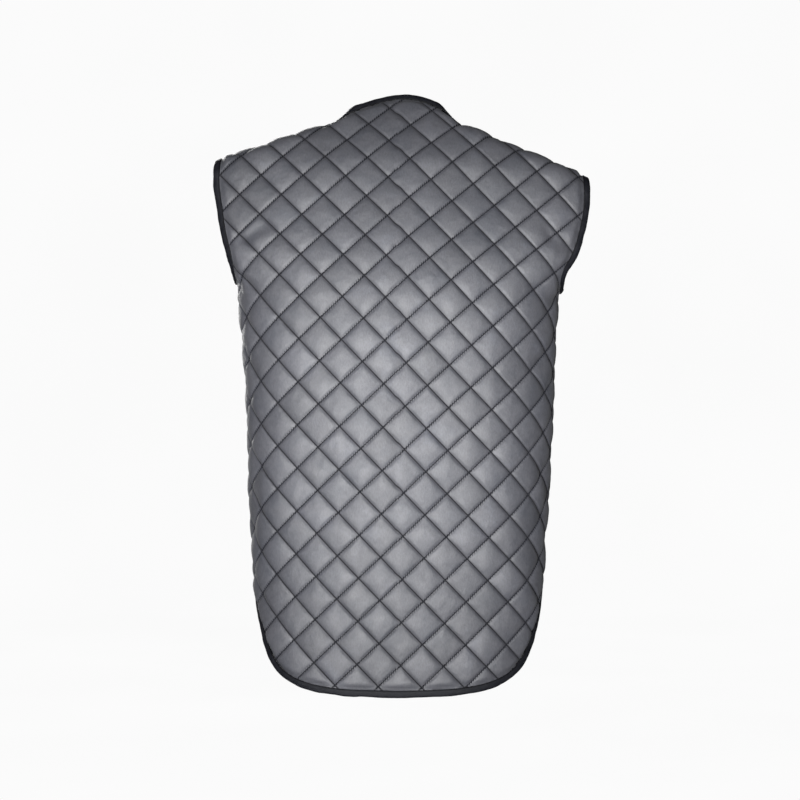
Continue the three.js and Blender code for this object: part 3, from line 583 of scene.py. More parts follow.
def flatAreas(s, t, triangles):
    s = s[triangles]
    t = t[triangles]
    return np.abs(
        (s[:, 1] - s[:, 0]) * (t[:, 2] - t[:, 0]) - (s[:, 2] - s[:, 0]) * (t[:, 1] - t[:, 0])
    ) / 2


# Places and triangles of a panel on its lattice, tucked into the bindings and cut at the seams
def panelGrid(side):
    lattice = latticeOf[side]
    steps = int(round(diamond / panelPitch))
    lowS, highS, lowT, highT = (value / panelPitch for value in panelBounds[side])
    start = lattice["s"] / panelPitch
    columns = np.arange(math.floor(lowS - start), math.ceil(highS - start) + 1)
    rows = np.arange(math.floor(lowT) - 3, math.ceil(highT) + 4)
    gridI, gridJ = (grid.ravel() for grid in np.meshgrid(columns, rows))
    t = (gridJ + lattice["rowLean"] * gridI) * panelPitch
    s = (gridI + lattice["columnLean"] * gridJ) * panelPitch + lattice["s"]
    seamS = sideSeamCut(side, s, t)
    s = np.where(seamS < 0, s + waysOut(side, s) * seamS, s)
    seamT = shoulderCut(side, s, t)
    t = np.where(seamT < 0, t + seamT, t)
    width = len(columns)
    a = (np.arange(len(rows) - 1)[:, None] * width + np.arange(width - 1)[None, :]).ravel()
    quads = np.stack((a, a + 1, a + 1 + width, a + width), axis=1)
    kept = (insideEdges(side, s, t)[quads] > -panelFacts["tuckIn"]).all(axis=1)
    clamped = (seamS < 0) | (seamT < 0)
    quads = quads[kept & ~clamped[quads].all(axis=1)]
    low = gridI[quads[:, 0]] % steps < steps // 2
    high = gridJ[quads[:, 0]] % steps >= steps // 2
    falling = (low == high)[:, None]
    first = np.where(falling, quads[:, [0, 1, 3]], quads[:, [0, 1, 2]])
    second = np.where(falling, quads[:, [1, 2, 3]], quads[:, [0, 2, 3]])
    triangles = np.concatenate((first, second))
    triangles = triangles[flatAreas(s, t, triangles) > panelFacts["leastArea"]]
    used, corners = np.unique(triangles, return_inverse=True)
    return (s[used], t[used], corners.reshape(-1, 3))


# A quilted panel: its outer and inner faces, joined round the rim
def makePanel(side):
    s, t, triangles = panelGrid(side)
    count = len(s)
    quiet = quietNear(side, s, t)
    outer, _ = clothPoints(side, s, t, wall + outerRelief(side, s, t), quiet)
    inner, _ = clothPoints(side, s, t, np.zeros(count), quiet)
    edges = np.concatenate((triangles[:, [0, 1]], triangles[:, [1, 2]], triangles[:, [2, 0]]))
    code = edges[:, 0] * count + edges[:, 1]
    reverse = edges[:, 1] * count + edges[:, 0]
    start, end = edges[~np.isin(code, reverse)].T
    rimOne = np.stack((end, start, start + count), axis=1)
    rimTwo = np.stack((end, start + count, end + count), axis=1)
    faces = np.concatenate((triangles, triangles[:, ::-1] + count, rimOne, rimTwo))
    if side == "back":
        faces = faces[:, ::-1]
    slots = np.zeros(len(faces))
    slots[len(triangles):2 * len(triangles)] = 1
    places = np.tile(np.stack((s, t), axis=1), (2, 1))
    piece = makeMesh(side + "_quilting", np.concatenate((outer, inner)), faces, places, slots)
    markRows(piece, *quiltShares(side, s, t))
    piece["flatArea"] = float(flatAreas(s, t, triangles).sum() * metre * metre)
    print("panel", side, len(faces), "triangles, flat area", round(piece["flatArea"], 3))
    return piece


panels = {side: makePanel(side) for side in panelBounds}


# Stitches: small slanted dashes along the sewn rows
stitchFacts = {
    "pitch": 3.6, "sink": 0.14, "fromSeam": 1.5, "fromEdge": 0.6, "aside": rowSpacing / 18, "ahead": 0.7,
    "rising": {"half": 3.1, "thick": 0.85, "slant": 42 * degree},
    "falling": {"half": 2.0, "thick": 0.5, "slant": 14 * degree},
}


# Corners of an eight-sided dash: two ends, two flats and two tops
dashCorners = np.array((
    (1, 3, 5), (3, 0, 5), (0, 2, 5), (2, 1, 5), (3, 1, 4), (0, 3, 4), (2, 0, 4), (1, 2, 4),
))


def dashes(side, s, t, alongS, alongT, height, facts, rise=0.0):
    quiet = quietNear(side, s, t)
    centre, normal = clothPoints(side, s, t, height, quiet)
    ahead, _ = clothPoints(side, s + alongS, t + alongT, height, quiet)
    along = ahead - centre
    along = along / np.linalg.norm(along, axis=1)[:, None]
    across = np.cross(normal, along)
    turned = along * math.cos(facts["slant"]) + across * math.sin(facts["slant"])
    ends = turned * facts["half"]
    lift = normal * np.broadcast_to(rise, len(s))[:, None]
    flats = np.cross(normal, turned) * facts["thick"]
    tops = normal * facts["thick"]
    ring = centre[:, None, :] + np.stack((lift - ends, lift + ends, -flats, flats, -tops, tops), axis=1)
    faces = (np.arange(len(s))[:, None, None] * 6 + dashCorners[None, :, :]).reshape(-1, 3)
    return (ring.reshape(-1, 3), faces)


def joined(parts):
    starts = np.cumsum([0] + [len(points) for points, _ in parts])
    faces = [corners + start for (_, corners), start in zip(parts, starts)]
    return (np.concatenate([points for points, _ in parts]), np.concatenate(faces))


def makeRowStitches(side):
    lattice = latticeOf[side]
    bounds = panelBounds[side]
    reach = int(1.2 * max(abs(v) for v in bounds) * 2 / rowSpacing)
    parts = []
    for family in ("rising", "falling"):
        rows = np.arange(-reach, reach + 1.0)
        along = np.arange(-reach, reach + 1, stitchFacts["pitch"] / rowSpacing)
        row, length = (grid.ravel() for grid in np.meshgrid(rows, along))
        u = row if family == "rising" else length
        v = length if family == "rising" else row
        across = (u + v) / 2 * diamond
        up = (u - v) / 2 * diamond
        t = up + lattice["rowLean"] * across
        s = across + lattice["columnLean"] * up + lattice["s"]
        near = (s > bounds[0]) & (s < bounds[1]) & (t > bounds[2]) & (t < bounds[3])
        s = s[near]
        t = t[near]
        kept = insideSeams(side, s, t) > stitchFacts["fromSeam"]
        kept &= insideEdges(side, s, t) > stitchFacts["fromEdge"]
        s = s[kept]
        t = t[kept]
        way = 1 if family == "rising" else -1
        facts = stitchFacts[family]
        height = np.full(len(s), wall + stitchFacts["sink"])
        aside = stitchFacts["aside"]
        diagonal = aside * math.sqrt(0.5)
        slope = outerRelief(side, s + diagonal, t + diagonal * way)
        slope = (slope + outerRelief(side, s - diagonal, t - diagonal * way)) / 2 / aside
        rise = slope * facts["half"] * math.sin(facts["slant"])
        ahead = stitchFacts["ahead"]
        parts.append(dashes(side, s, t, ahead, -ahead * way, height, facts, rise))
    points, faces = joined(parts)
    print("stitches", side, len(faces), "triangles")
    return makeMesh(side + "_stitches", points, faces)


stitches = {side: makeRowStitches(side) for side in panelBounds}


# Value and slope of a cut at one place
def cutSlope(cut, side, place):
    probe = 0.8
    s = place[0] + probe * np.array((0, 1, -1, 0, 0))
    t = place[1] + probe * np.array((0, 0, 0, 1, -1))
    values = cut(side, s, t)
    return (values[0], np.array((values[1] - values[2], values[3] - values[4])) / (2 * probe))


# Direction along a cut's line, on the side of a given way
def alongCut(slope, way):
    along = np.array((-slope[1], slope[0])) / np.linalg.norm(slope)
    return -along if along @ way < 0 else along


def settledCorner(side, first, second, place):
    place = np.array(place, dtype=float)
    for _ in range(7):
        firstValue, firstSlope = cutSlope(first, side, place)
        secondValue, secondSlope = cutSlope(second, side, place)
        place = place - np.linalg.solve(np.array((firstSlope, secondSlope)), (firstValue, secondValue))
    return place


def walkCut(side, cut, start, end, step):
    places = [start]
    towards = end - start
    while len(places) < 900:
        here = places[-1]
        _, slope = cutSlope(cut, side, here)
        along = alongCut(slope, towards)
        there = here + along * step
        for _ in range(2):
            value, slope = cutSlope(cut, side, there)
            there = there - value * slope / (slope @ slope)
        if len(places) > 8 and np.linalg.norm(end - there) < step * 1.3:
            break
        places.append(there)
        towards = along
    places.append(end)
    return np.array(places)


# Folded tape round an edge: distance out from the cut and height over the form
tapeOuter = (
    (0.45, 3.3), (1.3, 3.62), (4.4, 3.7), (7.2, 3.5), (8.8, 2.85),
    (9.55, 1.4), (9.1, -0.1), (7.6, -0.95), (4.6, -1.2), (1.5, -1.2), (0.5, -1.05),
)
tapeInner = (
    (0.5, 2.6), (1.5, 2.82), (4.4, 2.9), (6.9, 2.72), (8.1, 2.2),
    (8.7, 1.3), (8.3, 0.4), (7.3, -0.15), (4.6, -0.4), (1.5, -0.4), (0.6, -0.35),
)
tapeProfile = np.array(tapeOuter + tapeInner[::-1])
tapeStep = 2.0
tapeFacts = {
    "turnReach": 16, "slim": 0.32, "slimReach": 50,
    "wave": 0.5, "wavePitch": 11, "pucker": 0.2, "puckerPitch": 3.1,
}


def tapeSections(side, cut, places, endCuts, seed, slim):
    count = len(places)
    slopes = np.array([cutSlope(cut, side, place)[1] for place in places])
    normalOut = -slopes / np.linalg.norm(slopes, axis=1)[:, None]
    outward = normalOut
    length = walkedLength(places)
    for end, endCut in zip((0, -1), endCuts):
        along = alongCut(cutSlope(endCut, side, places[end])[1], outward[end])
        share = smoothStep(tapeFacts["turnReach"], 0, np.abs(length - length[end]))[:, None]
        blended = outward * (1 - share) + along * share
        outward = blended / np.linalg.norm(blended, axis=1)[:, None]
    slimmed = 1 - slim * smoothStep(tapeFacts["slimReach"], 12, length)
    reachOut = slimmed / np.maximum(0.6, (outward * normalOut).sum(axis=1))
    size = len(tapeProfile)
    out = np.tile(tapeProfile[:, 0], count)
    height = np.tile(tapeProfile[:, 1], count)
    lengths = np.repeat(length, size)
    calm = smoothStep(0, 12, np.minimum(lengths, length[-1] - lengths))
    wave = smoothNoise(seed % 8, lengths / tapeFacts["wavePitch"], lengths * 0 + seed)
    fold = smoothStep(3, 9, out)
    pucker = smoothNoise((seed + 2) % 8, lengths / tapeFacts["puckerPitch"], out / 5 + seed)
    faceUp = np.where(height > 1.3, 1.0, -0.4)
    out = out + wave * tapeFacts["wave"] * fold * calm
    height = height + pucker * tapeFacts["pucker"] * faceUp * calm * smoothStep(0.2, 2.5, out)
    reach = out * np.repeat(reachOut, size)
    s = np.repeat(places[:, 0], size) + np.repeat(outward[:, 0], size) * reach
    t = np.repeat(places[:, 1], size) + np.repeat(outward[:, 1], size) * reach
    points, _ = clothPoints(side, s, t, height, quietNear(side, s, t))
    return points.reshape(count, size, 3)


def tapeMesh(name, sectionPoints, closed):
    count, size, _ = sectionPoints.shape
    points = sectionPoints.reshape(-1, 3)
    bays = np.arange(count if closed else count - 1)[:, None]
    k = bays * size
    following = (bays + 1) % count * size
    i = np.arange(size)[None, :]
    j = (i + 1) % size
    one = np.stack((k + i, following + i, following + j), axis=2).reshape(-1, 3)
    two = np.stack((k + i, following + j, k + j), axis=2).reshape(-1, 3)
    faces = [one, two]
    if not closed:
        last = (count - 1) * size
        caps = []
        for n in range(size // 2 - 1):
            m = size - 1 - n
            caps += [(n, n + 1, m - 1), (n, m - 1, m)]
            caps += [(last + n + 1, last + n, last + m - 1), (last + m - 1, last + n, last + m)]
        faces.append(np.array(caps))
    faces = np.concatenate(faces)
    corners = points[faces]
    volume = np.einsum("ij,ij->i", corners[:, 0], np.cross(corners[:, 1], corners[:, 2])).sum()
    if volume < 0:
        faces = faces[:, ::-1]
    around = walkedLength(tapeProfile)
    length = walkedLength(sectionPoints[:, 2])
    places = np.stack((np.repeat(length, size), np.tile(around, count)), axis=1)
    return makeMesh(name, points, faces, places)


# Each run of binding: the cut that it follows and the seams at its two ends
shoulderToSide = (shoulderCut, sideSeamCut)
sideToShoulder = (sideSeamCut, shoulderCut)
tapeRuns = {
    "neck": ("back", backNeckCut, (shoulderCut, shoulderCut), (83.7, 398), (-83.7, 398)),
    "hem": ("back", hemCut, (sideSeamCut, sideSeamCut), (232.5, -229), (-232.5, -229)),
    "edge_left": ("front_left", outlineCut, shoulderToSide, (84.9, 370.2), (243, -242)),
    "edge_right": ("front_right", outlineCut, shoulderToSide, (-83.3, 371.2), (-243, -242)),
    "back_arm_left": ("back", armholeCut, sideToShoulder, (252, 158), (225.4, 343)),
    "back_arm_right": ("back", armholeCut, sideToShoulder, (-252, 161), (-236.5, 339)),
    "front_arm_left": ("front_left", armholeCut, sideToShoulder, (261.6, 145.2), (227.1, 316.4)),
    "front_arm_right": ("front_right", armholeCut, sideToShoulder, (-261.6, 145.2), (-236, 312)),
}


def walkedRun(name):
    side, cut, endCuts, start, end = tapeRuns[name]
    first = settledCorner(side, cut, endCuts[0], start)
    last = settledCorner(side, cut, endCuts[1], end)
    places = walkCut(side, cut, first, last, tapeStep)
    print("edge", name, len(places), "steps", first.round(1), last.round(1))
    return (side, cut, endCuts, places)


runs = {name: walkedRun(name) for name in tapeRuns}
edgeStitch = {"pitch": 3.0, "out": 1.9, "height": 3.72, "half": 1.1, "thick": 0.26, "slant": 0}


# The tape of an armhole lies flatter where it passes under the arm
def runSections(name, seed):
    side, cut, endCuts, places = runs[name]
    slim = tapeFacts["slim"] if "_arm_" in name else 0.0
    return tapeSections(side, cut, places, endCuts, seed, slim)


def runStitches(name):
    side, cut, _, places = runs[name]
    length = walkedLength(places)
    at = np.arange(3, length[-1] - 3, edgeStitch["pitch"])
    s = np.interp(at, length, places[:, 0])
    t = np.interp(at, length, places[:, 1])
    slopes = np.array([cutSlope(cut, side, place)[1] for place in places[::4]])
    inS = np.interp(at, length[::4], slopes[:, 0])
    inT = np.interp(at, length[::4], slopes[:, 1])
    size = np.hypot(inS, inT)
    inS = inS / size
    inT = inT / size
    s = s - inS * edgeStitch["out"]
    t = t - inT * edgeStitch["out"]
    height = np.full(len(s), edgeStitch["height"])
    return dashes(side, s, t, -inT, inS, height, edgeStitch)


tapes = {}
tapeStitches = {}
for name, run, seed in (
    ("neck_binding", "neck", 1),
    ("hem_binding", "hem", 2),
    ("front_binding_left", "edge_left", 3),
    ("front_binding_right", "edge_right", 4),
):
    tapes[name] = tapeMesh(name + "_tape", runSections(run, seed), False)
    tapeStitches[name] = makeMesh(name + "_stitches", *runStitches(run))
for name, side, seed in (("armhole_binding_left", "left", 5), ("armhole_binding_right", "right", 6)):
    backPart = runSections("back_arm_" + side, seed)
    frontPart = runSections("front_arm_" + side, seed + 1)
    tapes[name] = tapeMesh(name + "_tape", np.concatenate((backPart, frontPart[::-1])), True)
    stitchParts = (runStitches("back_arm_" + side), runStitches("front_arm_" + side))
    tapeStitches[name] = makeMesh(name + "_stitches", *joined(stitchParts))
print("tapes made")


# Press studs on the lap: a cap of turned metal with a dished top, copied down the front
studFacts = {
    "radius": 6.0, "height": 2.2, "topZ": -160, "spacing": 110, "count": 5,
    "insets": ((1.1, 0), (0.5, -0.35), (1.4, 0.15)), "bevel": 0.28,
}


def makeStudCap():
    bpy.ops.object.select_all(action="DESELECT")
    bpy.ops.mesh.primitive_cylinder_add(
        vertices=48, radius=studFacts["radius"] * metre, depth=studFacts["height"] * metre,
    )
    cap = bpy.context.object
    cap.name = "stud_cap_form"
    bpy.ops.object.mode_set(mode="EDIT")
    bpy.ops.mesh.select_mode(type="FACE")
    bpy.ops.mesh.select_all(action="DESELECT")
    bpy.ops.object.mode_set(mode="OBJECT")
    top = max(cap.data.polygons, key=lambda face: face.center.z)
    top.select = True
    bpy.ops.object.mode_set(mode="EDIT")
    for thickness, depth in studFacts["insets"]:
        bpy.ops.mesh.inset(thickness=thickness * metre, depth=depth * metre)
    bpy.ops.object.mode_set(mode="OBJECT")
    bevel = cap.modifiers.new("edge", "BEVEL")
    bevel.width = studFacts["bevel"] * metre
    bevel.segments = 3
    bevel.angle_limit = 30 * degree
    bpy.ops.object.modifier_apply(modifier="edge")
    bpy.ops.object.shade_smooth_by_angle(angle=40 * degree)
    return cap


def placeStuds(cap):
    made = []
    for number in range(studFacts["count"]):
        z = studFacts["topZ"] - studFacts["spacing"] * number
        s = np.array((0.0,))
        t = np.array((lengthAt("front", z),))
        point, normal = clothPoints("front_left", s, t, np.array((wall + seamGap,)), 0.0)
        turn = Vector((0, 0, 1)).rotation_difference(Vector(normal[0]))
        raised = Vector((0, 0, studFacts["height"] / 2))
        mesh = cap.data.copy()
        for vertex in mesh.vertices:
            vertex.co = (turn @ (vertex.co / metre + raised) + Vector(point[0])) * metre
        piece = bpy.data.objects.new("stud_" + str(number + 1) + "_cap_piece", mesh)
        bpy.context.collection.objects.link(piece)
        made.append(piece)
    bpy.data.objects.remove(cap, do_unlink=True)
    return made


studCaps = placeStuds(makeStudCap())


# Materials: each input gets a plain value or a link from another node's output
def setInputs(tree, node, values):
    for key, value in values.items():
        if isinstance(value, bpy.types.NodeSocket):
            tree.links.new(value, node.inputs[key])
        else:
            node.inputs[key].default_value = value


def newMaterial(name, plain):
    material = bpy.data.materials.new(name)
    material.use_nodes = True
    tree = material.node_tree
    shader = tree.nodes["Principled BSDF"]
    setInputs(tree, shader, plain)
    return (material, tree, shader)


def addNode(tree, kind, values, **options):
    node = tree.nodes.new(kind)
    for key, option in options.items():
        setattr(node, key, option)
    setInputs(tree, node, values)
    return node


def objectPlace(tree):
    return addNode(tree, "ShaderNodeTexCoord", {}).outputs["Object"]


def clothPlace(tree):
    return addNode(tree, "ShaderNodeUVMap", {}, uv_map="cloth").outputs["UV"]


def attributeValue(tree, name):
    return addNode(tree, "ShaderNodeAttribute", {}, attribute_name=name).outputs["Fac"]


def mathNode(tree, operation, first, second=0.5):
    return addNode(tree, "ShaderNodeMath", {0: first, 1: second}, operation=operation).outputs[0]


def noiseNode(tree, source, scale, detail, roughness=0.55, distortion=0.0):
    return addNode(tree, "ShaderNodeTexNoise", {
        "Vector": source, "Scale": scale, "Detail": detail, "Roughness": roughness, "Distortion": distortion,
    }).outputs["Fac"]


def rangeNode(tree, source, fromLow, fromHigh, toLow, toHigh):
    values = {"Value": source, "From Min": fromLow, "From Max": fromHigh, "To Min": toLow, "To Max": toHigh}
    return addNode(tree, "ShaderNodeMapRange", values).outputs["Result"]


def rampNode(tree, source, stops, reach=None):
    if reach is not None:
        source = rangeNode(tree, source, 0, reach, 0, 1)
    node = addNode(tree, "ShaderNodeValToRGB", {"Fac": source})
    ramp = node.color_ramp
    for element, stop in ((ramp.elements[0], stops[0]), (ramp.elements[1], stops[-1])):
        element.position, element.color = stop
    for position, colour in stops[1:-1]:
        ramp.elements.new(position).color = colour
    return node.outputs["Color"]


def multiplied(tree, first, second):
    node = addNode(tree, "ShaderNodeMix", {"Factor": 1.0}, data_type="RGBA", blend_type="MULTIPLY")
    tree.links.new(first, node.inputs[6])
    tree.links.new(second, node.inputs[7])
    return node.outputs[2]


def bumpNode(tree, source, distance, strength, below=None):
    node = addNode(tree, "ShaderNodeBump", {"Height": source, "Distance": distance, "Strength": strength})
    if below is not None:
        tree.links.new(below, node.inputs["Normal"])
    return node.outputs["Normal"]


# Bump of a plain weave with its threads at a period
def weaveBump(tree, place, period, distance, strength):
    split = addNode(tree, "ShaderNodeSeparateXYZ", {"Vector": place})
    waves = []
    for axis in ("X", "Y"):
        turn = mathNode(tree, "MULTIPLY", split.outputs[axis], 2 * math.pi / period)
        waves.append(mathNode(tree, "SINE", turn))
    return bumpNode(tree, mathNode(tree, "MULTIPLY", *waves), distance, strength)


def grey(value):
    return (value, value, value, 1)


# Noises are given as scale, detail, roughness and distortion, bumps as distance and strength
toneSpan = (0.3, 0.7)
quiltLook = {
    "broad": (22, 4, 0.6, 0.4),
    "tones": (
        (0.3, (0.058, 0.061, 0.073, 1)), (0.55, (0.076, 0.077, 0.088, 1)), (0.72, (0.083, 0.086, 0.101, 1)),
    ),
    "grainScale": (560, 210, 1),
    "grain": (1, 4, 0.75),
    "grainTones": ((0.3, (0.68, 0.68, 0.69, 1)), (0.7, grey(1.12))),
    "diamondTones": (0.9, 1.08),
    "rowReach": 12,
    # Painted shade: the cloth darkens towards each sewn row, standing in for the shade in the pinched
    # grooves
    "rowShadeTones": (
        (0.05, (0.07, 0.07, 0.09, 1)), (0.11, (0.58, 0.58, 0.62, 1)), (0.24, (0.86, 0.86, 0.87, 1)),
        (0.85, grey(1)),
    ),
    "patch": (60, 3, 0.6),
    "roughness": (0.51, 0.65),
    "rowRoughness": (0.6, 2.2, 0.95, 0),
    "weave": (0.00062, 0.00006, 0.5),
    "wrinkles": (190, 4, 0.6, 0.5),
    "wrinkleBump": (0.0009, 0.5),
    "plain": {"Sheen Weight": 0.04, "Sheen Roughness": 0.4, "Specular IOR Level": 0.75},
}


def makeQuiltMaterial():
    material, tree, shader = newMaterial("quilted_cloth_look", quiltLook["plain"])
    place = objectPlace(tree)
    onCloth = clothPlace(tree)
    base = rampNode(tree, noiseNode(tree, place, *quiltLook["broad"]), quiltLook["tones"])
    drawn = addNode(tree, "ShaderNodeMapping", {"Vector": onCloth, "Scale": quiltLook["grainScale"]})
    grain = noiseNode(tree, drawn.outputs["Vector"], *quiltLook["grain"])
    grained = multiplied(tree, base, rampNode(tree, grain, quiltLook["grainTones"]))
    diamondTone = rangeNode(tree, attributeValue(tree, "diamondTone"), -1, 1, *quiltLook["diamondTones"])
    rowDistance = attributeValue(tree, "rowDistance")
    # Painted shade in the pinched grooves: darker the nearer a sewn row
    rowShade = rampNode(tree, rowDistance, quiltLook["rowShadeTones"], quiltLook["rowReach"])
    patch = noiseNode(tree, place, *quiltLook["patch"])
    rough = rangeNode(tree, patch, *toneSpan, *quiltLook["roughness"])
    nearRow = rangeNode(tree, rowDistance, *quiltLook["rowRoughness"])
    weave = weaveBump(tree, onCloth, *quiltLook["weave"])
    wrinkles = noiseNode(tree, place, *quiltLook["wrinkles"])
    setInputs(tree, shader, {
        "Base Color": multiplied(tree, multiplied(tree, grained, diamondTone), rowShade),
        "Roughness": mathNode(tree, "MAXIMUM", rough, nearRow),
        "Normal": bumpNode(tree, wrinkles, *quiltLook["wrinkleBump"], weave),
    })
    return material


insideLook = {
    "broad": (30, 3),
    "tones": ((0.3, (0.03, 0.032, 0.038, 1)), (0.7, (0.05, 0.052, 0.06, 1))),
    "rowReach": 3,
    # Painted shade in the dents along the sewn rows
    "rowShadeTones": ((0.1, (0.3, 0.3, 0.34, 1)), (0.4, grey(1))),
    "dentReach": 5,
    "dentBump": (0.0012, 0.5),
    "weave": (0.0007, 0.00007, 0.6),
    "plain": {"Roughness": 0.7},
}


def makeInsideMaterial():
    material, tree, shader = newMaterial("inside_cloth_look", insideLook["plain"])
    base = rampNode(tree, noiseNode(tree, objectPlace(tree), *insideLook["broad"]), insideLook["tones"])
    rowDistance = attributeValue(tree, "rowDistance")
    # Painted shade: darker close to each sewn row, in its dent
    rowShade = rampNode(tree, rowDistance, insideLook["rowShadeTones"], insideLook["rowReach"])
    dent = rampNode(tree, rowDistance, ((0.0, grey(0)), (1.0, grey(1))), insideLook["dentReach"])
    weave = weaveBump(tree, clothPlace(tree), *insideLook["weave"])
    setInputs(tree, shader, {
        "Base Color": multiplied(tree, base, rowShade),
        "Normal": bumpNode(tree, dent, *insideLook["dentBump"], weave),
    })
    return material


tapeLook = {
    "broad": (90, 4, 0.6),
    "tones": ((0.35, (0.006, 0.0065, 0.009, 1)), (0.68, (0.013, 0.0135, 0.017, 1))),
    "seamReach": 0.004,
    "seamTones": ((0.1, (0.25, 0.25, 0.28, 1)), (0.5, grey(1))),
    "roughness": (0.46, 0.6),
    "bias": (0, 0, 45 * degree),
    "weave": (0.0006, 0.00006, 0.6),
    "ripples": (260, 3, 0.6, 0.6),
    "rippleBump": (0.0007, 0.4),
    "plain": {"Specular IOR Level": 0.16},
}


def makeTapeMaterial():
    material, tree, shader = newMaterial("binding_look", tapeLook["plain"])
    place = objectPlace(tree)
    onCloth = clothPlace(tree)
    broad = noiseNode(tree, place, *tapeLook["broad"])
    split = addNode(tree, "ShaderNodeSeparateXYZ", {"Vector": onCloth})
    seam = rampNode(tree, split.outputs["Y"], tapeLook["seamTones"], tapeLook["seamReach"])
    turned = addNode(tree, "ShaderNodeMapping", {"Vector": onCloth, "Rotation": tapeLook["bias"]})
    weave = weaveBump(tree, turned.outputs["Vector"], *tapeLook["weave"])
    ripples = noiseNode(tree, place, *tapeLook["ripples"])
    setInputs(tree, shader, {
        "Base Color": multiplied(tree, rampNode(tree, broad, tapeLook["tones"]), seam),
        "Roughness": rangeNode(tree, broad, *toneSpan, *tapeLook["roughness"]),
        "Normal": bumpNode(tree, ripples, *tapeLook["rippleBump"], weave),
    })
    return material


threadLook = {
    "noise": (700, 2),
    "tones": ((0.35, (0.006, 0.007, 0.010, 1)), (0.65, (0.014, 0.015, 0.021, 1))),
    "roughness": (0.7, 0.7),
    "bump": (0.0001, 0.5),
    "plain": {"Specular IOR Level": 0.1},
}
studLook = {
    "noise": (420, 4, 0.65),
    "tones": ((0.4, (0.022, 0.022, 0.024, 1)), (0.62, (0.05, 0.05, 0.053, 1)), (0.8, grey(0.14))),
    "roughness": (0.3, 0.46),
    "bump": (0.00005, 0.4),
    "plain": {"Metallic": 0.75},
}


# A look with one noise for its tones, roughness and bump
def makeNoiseMaterial(name, look):
    material, tree, shader = newMaterial(name, look["plain"])
    noise = noiseNode(tree, objectPlace(tree), *look["noise"])
    setInputs(tree, shader, {
        "Base Color": rampNode(tree, noise, look["tones"]),
        "Roughness": rangeNode(tree, noise, *toneSpan, *look["roughness"]),
        "Normal": bumpNode(tree, noise, *look["bump"]),
    })
    return material


quiltMaterial = makeQuiltMaterial()
insideMaterial = makeInsideMaterial()
tapeMaterial = makeTapeMaterial()
threadMaterial = makeNoiseMaterial("thread_look", threadLook)
studMaterial = makeNoiseMaterial("stud_look", studLook)
print("materials made")

# What each piece stands for and rides on
for side, piece in panels.items():
    piece.data.materials.append(quiltMaterial)
    piece.data.materials.append(insideMaterial)
    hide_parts(side)
    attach(piece, "root")
    stitches[side].data.materials.append(threadMaterial)
    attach(stitches[side], "root")
for name in tapes:
    tapes[name].data.materials.append(tapeMaterial)
    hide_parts(name)
    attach(tapes[name], "root")
    tapeStitches[name].data.materials.append(threadMaterial)
    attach(tapeStitches[name], "root")
for number, piece in enumerate(studCaps):
    piece.data.materials.clear()
    piece.data.materials.append(studMaterial)
    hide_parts("stud_cap_" + str(number + 1))
    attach(piece, "root")
for name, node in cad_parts.items():
    if name.startswith(("stud_socket", "stud_post")):
        for slot in node.material_slots:
            slot.material = studMaterial

piecesOnPanel = {
    "back": ("neck_binding", "hem_binding"),
    "front_left": ("front_binding_left", "armhole_binding_left"),
    "front_right": ("front_binding_right", "armhole_binding_right"),
}
for side, piece in panels.items():
    onIt = [stitches[side]]
    for name in piecesOnPanel[side]:
        onIt += [tapes[name], tapeStitches[name]]

# Camera, at the photograph's height and distance
cameraFacts = {"place": (-0.003, 2.72, -0.357), "lens": 94.4, "sensor": 36}
cameraData = bpy.data.cameras.new("camera")
cameraData.lens = cameraFacts["lens"]
cameraData.sensor_width = cameraFacts["sensor"]
camera = bpy.data.objects.new("camera", cameraData)
camera.location = cameraFacts["place"]
camera.rotation_euler = (math.pi / 2, 0, math.pi)
bpy.context.collection.objects.link(camera)
bpy.context.scene.camera = camera

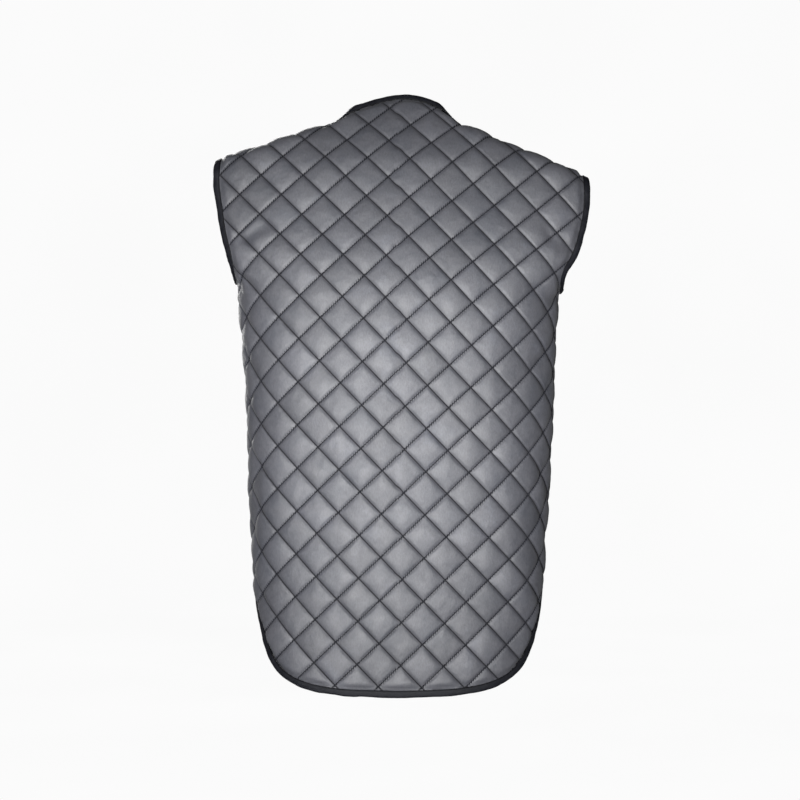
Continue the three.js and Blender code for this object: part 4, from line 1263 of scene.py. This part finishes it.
# Soft studio light from beside the camera, and one on the front: place, aim, size, spread, watts
worldStrength = 0.035
lightFacts = (
    ("key", (0.3, 2.92, -0.66), (0, 0.1, -0.34), 0.6, 0.6, 33 * degree, 8.2),
    ("front", (0.8, -2.4, 0.5), (0, 0, -0.35), 1.6, 1.6, math.pi, 100),
)
for name, place, aim, width, height, spread, power in lightFacts:
    data = bpy.data.lights.new(name, "AREA")
    data.shape = "RECTANGLE"
    data.size = width
    data.size_y = height
    data.spread = spread
    data.energy = power
    light = bpy.data.objects.new(name, data)
    light.location = place
    light.rotation_euler = (Vector(aim) - Vector(place)).to_track_quat("-Z", "Y").to_euler()
    bpy.context.collection.objects.link(light)

world = bpy.data.worlds.new("world")
world.use_nodes = True
world.node_tree.nodes["Background"].inputs["Color"].default_value = (1, 1, 1, 1)
world.node_tree.nodes["Background"].inputs["Strength"].default_value = worldStrength
bpy.context.scene.world = world
bpy.context.scene.view_settings.view_transform = "Standard"


# Pale round floor that sweeps up into a backdrop on all sides
sweepFacts = {
    "floorZ": -0.98, "reach": 3.4, "round": 0.8, "top": 3.0, "sides": 64, "bends": 14, "middle": 0.0005,
    "cloud": (1.5, 2), "tones": ((0.3, grey(0.985)), (0.7, grey(1))),
    "plain": {"Base Color": grey(0), "Specular IOR Level": 0, "Emission Strength": 0.97},
}


def makeSweep():
    bend = np.linspace(0, math.pi / 2, sweepFacts["bends"])
    reach = sweepFacts["reach"]
    turn = sweepFacts["round"]
    floorZ = sweepFacts["floorZ"]
    outline = [(sweepFacts["middle"], floorZ)]
    outline += [(reach + turn * math.sin(a), floorZ + turn * (1 - math.cos(a))) for a in bend]
    outline += [(reach + turn, sweepFacts["top"])]
    sides = sweepFacts["sides"]
    around = np.arange(sides) * 2 * math.pi / sides
    points = [(r * math.cos(a), r * math.sin(a), z) for r, z in outline for a in around]
    rings = np.arange(len(outline) - 1)[:, None] * sides
    here = np.arange(sides)[None, :]
    following = (here + 1) % sides
    corners = (rings + here, rings + following, rings + following + sides, rings + here + sides)
    faces = np.stack(corners, axis=2).reshape(-1, 4)[:, ::-1]
    sweep = makeMesh("sweep", np.array(points) / metre, faces)
    material, tree, shader = newMaterial("sweep_look", sweepFacts["plain"])
    cloud = noiseNode(tree, objectPlace(tree), *sweepFacts["cloud"])
    setInputs(tree, shader, {"Emission Color": rampNode(tree, cloud, sweepFacts["tones"])})
    sweep.data.materials.append(material)
    sweep.visible_diffuse = False
    sweep.visible_glossy = False
    sweep.visible_shadow = False


makeSweep()
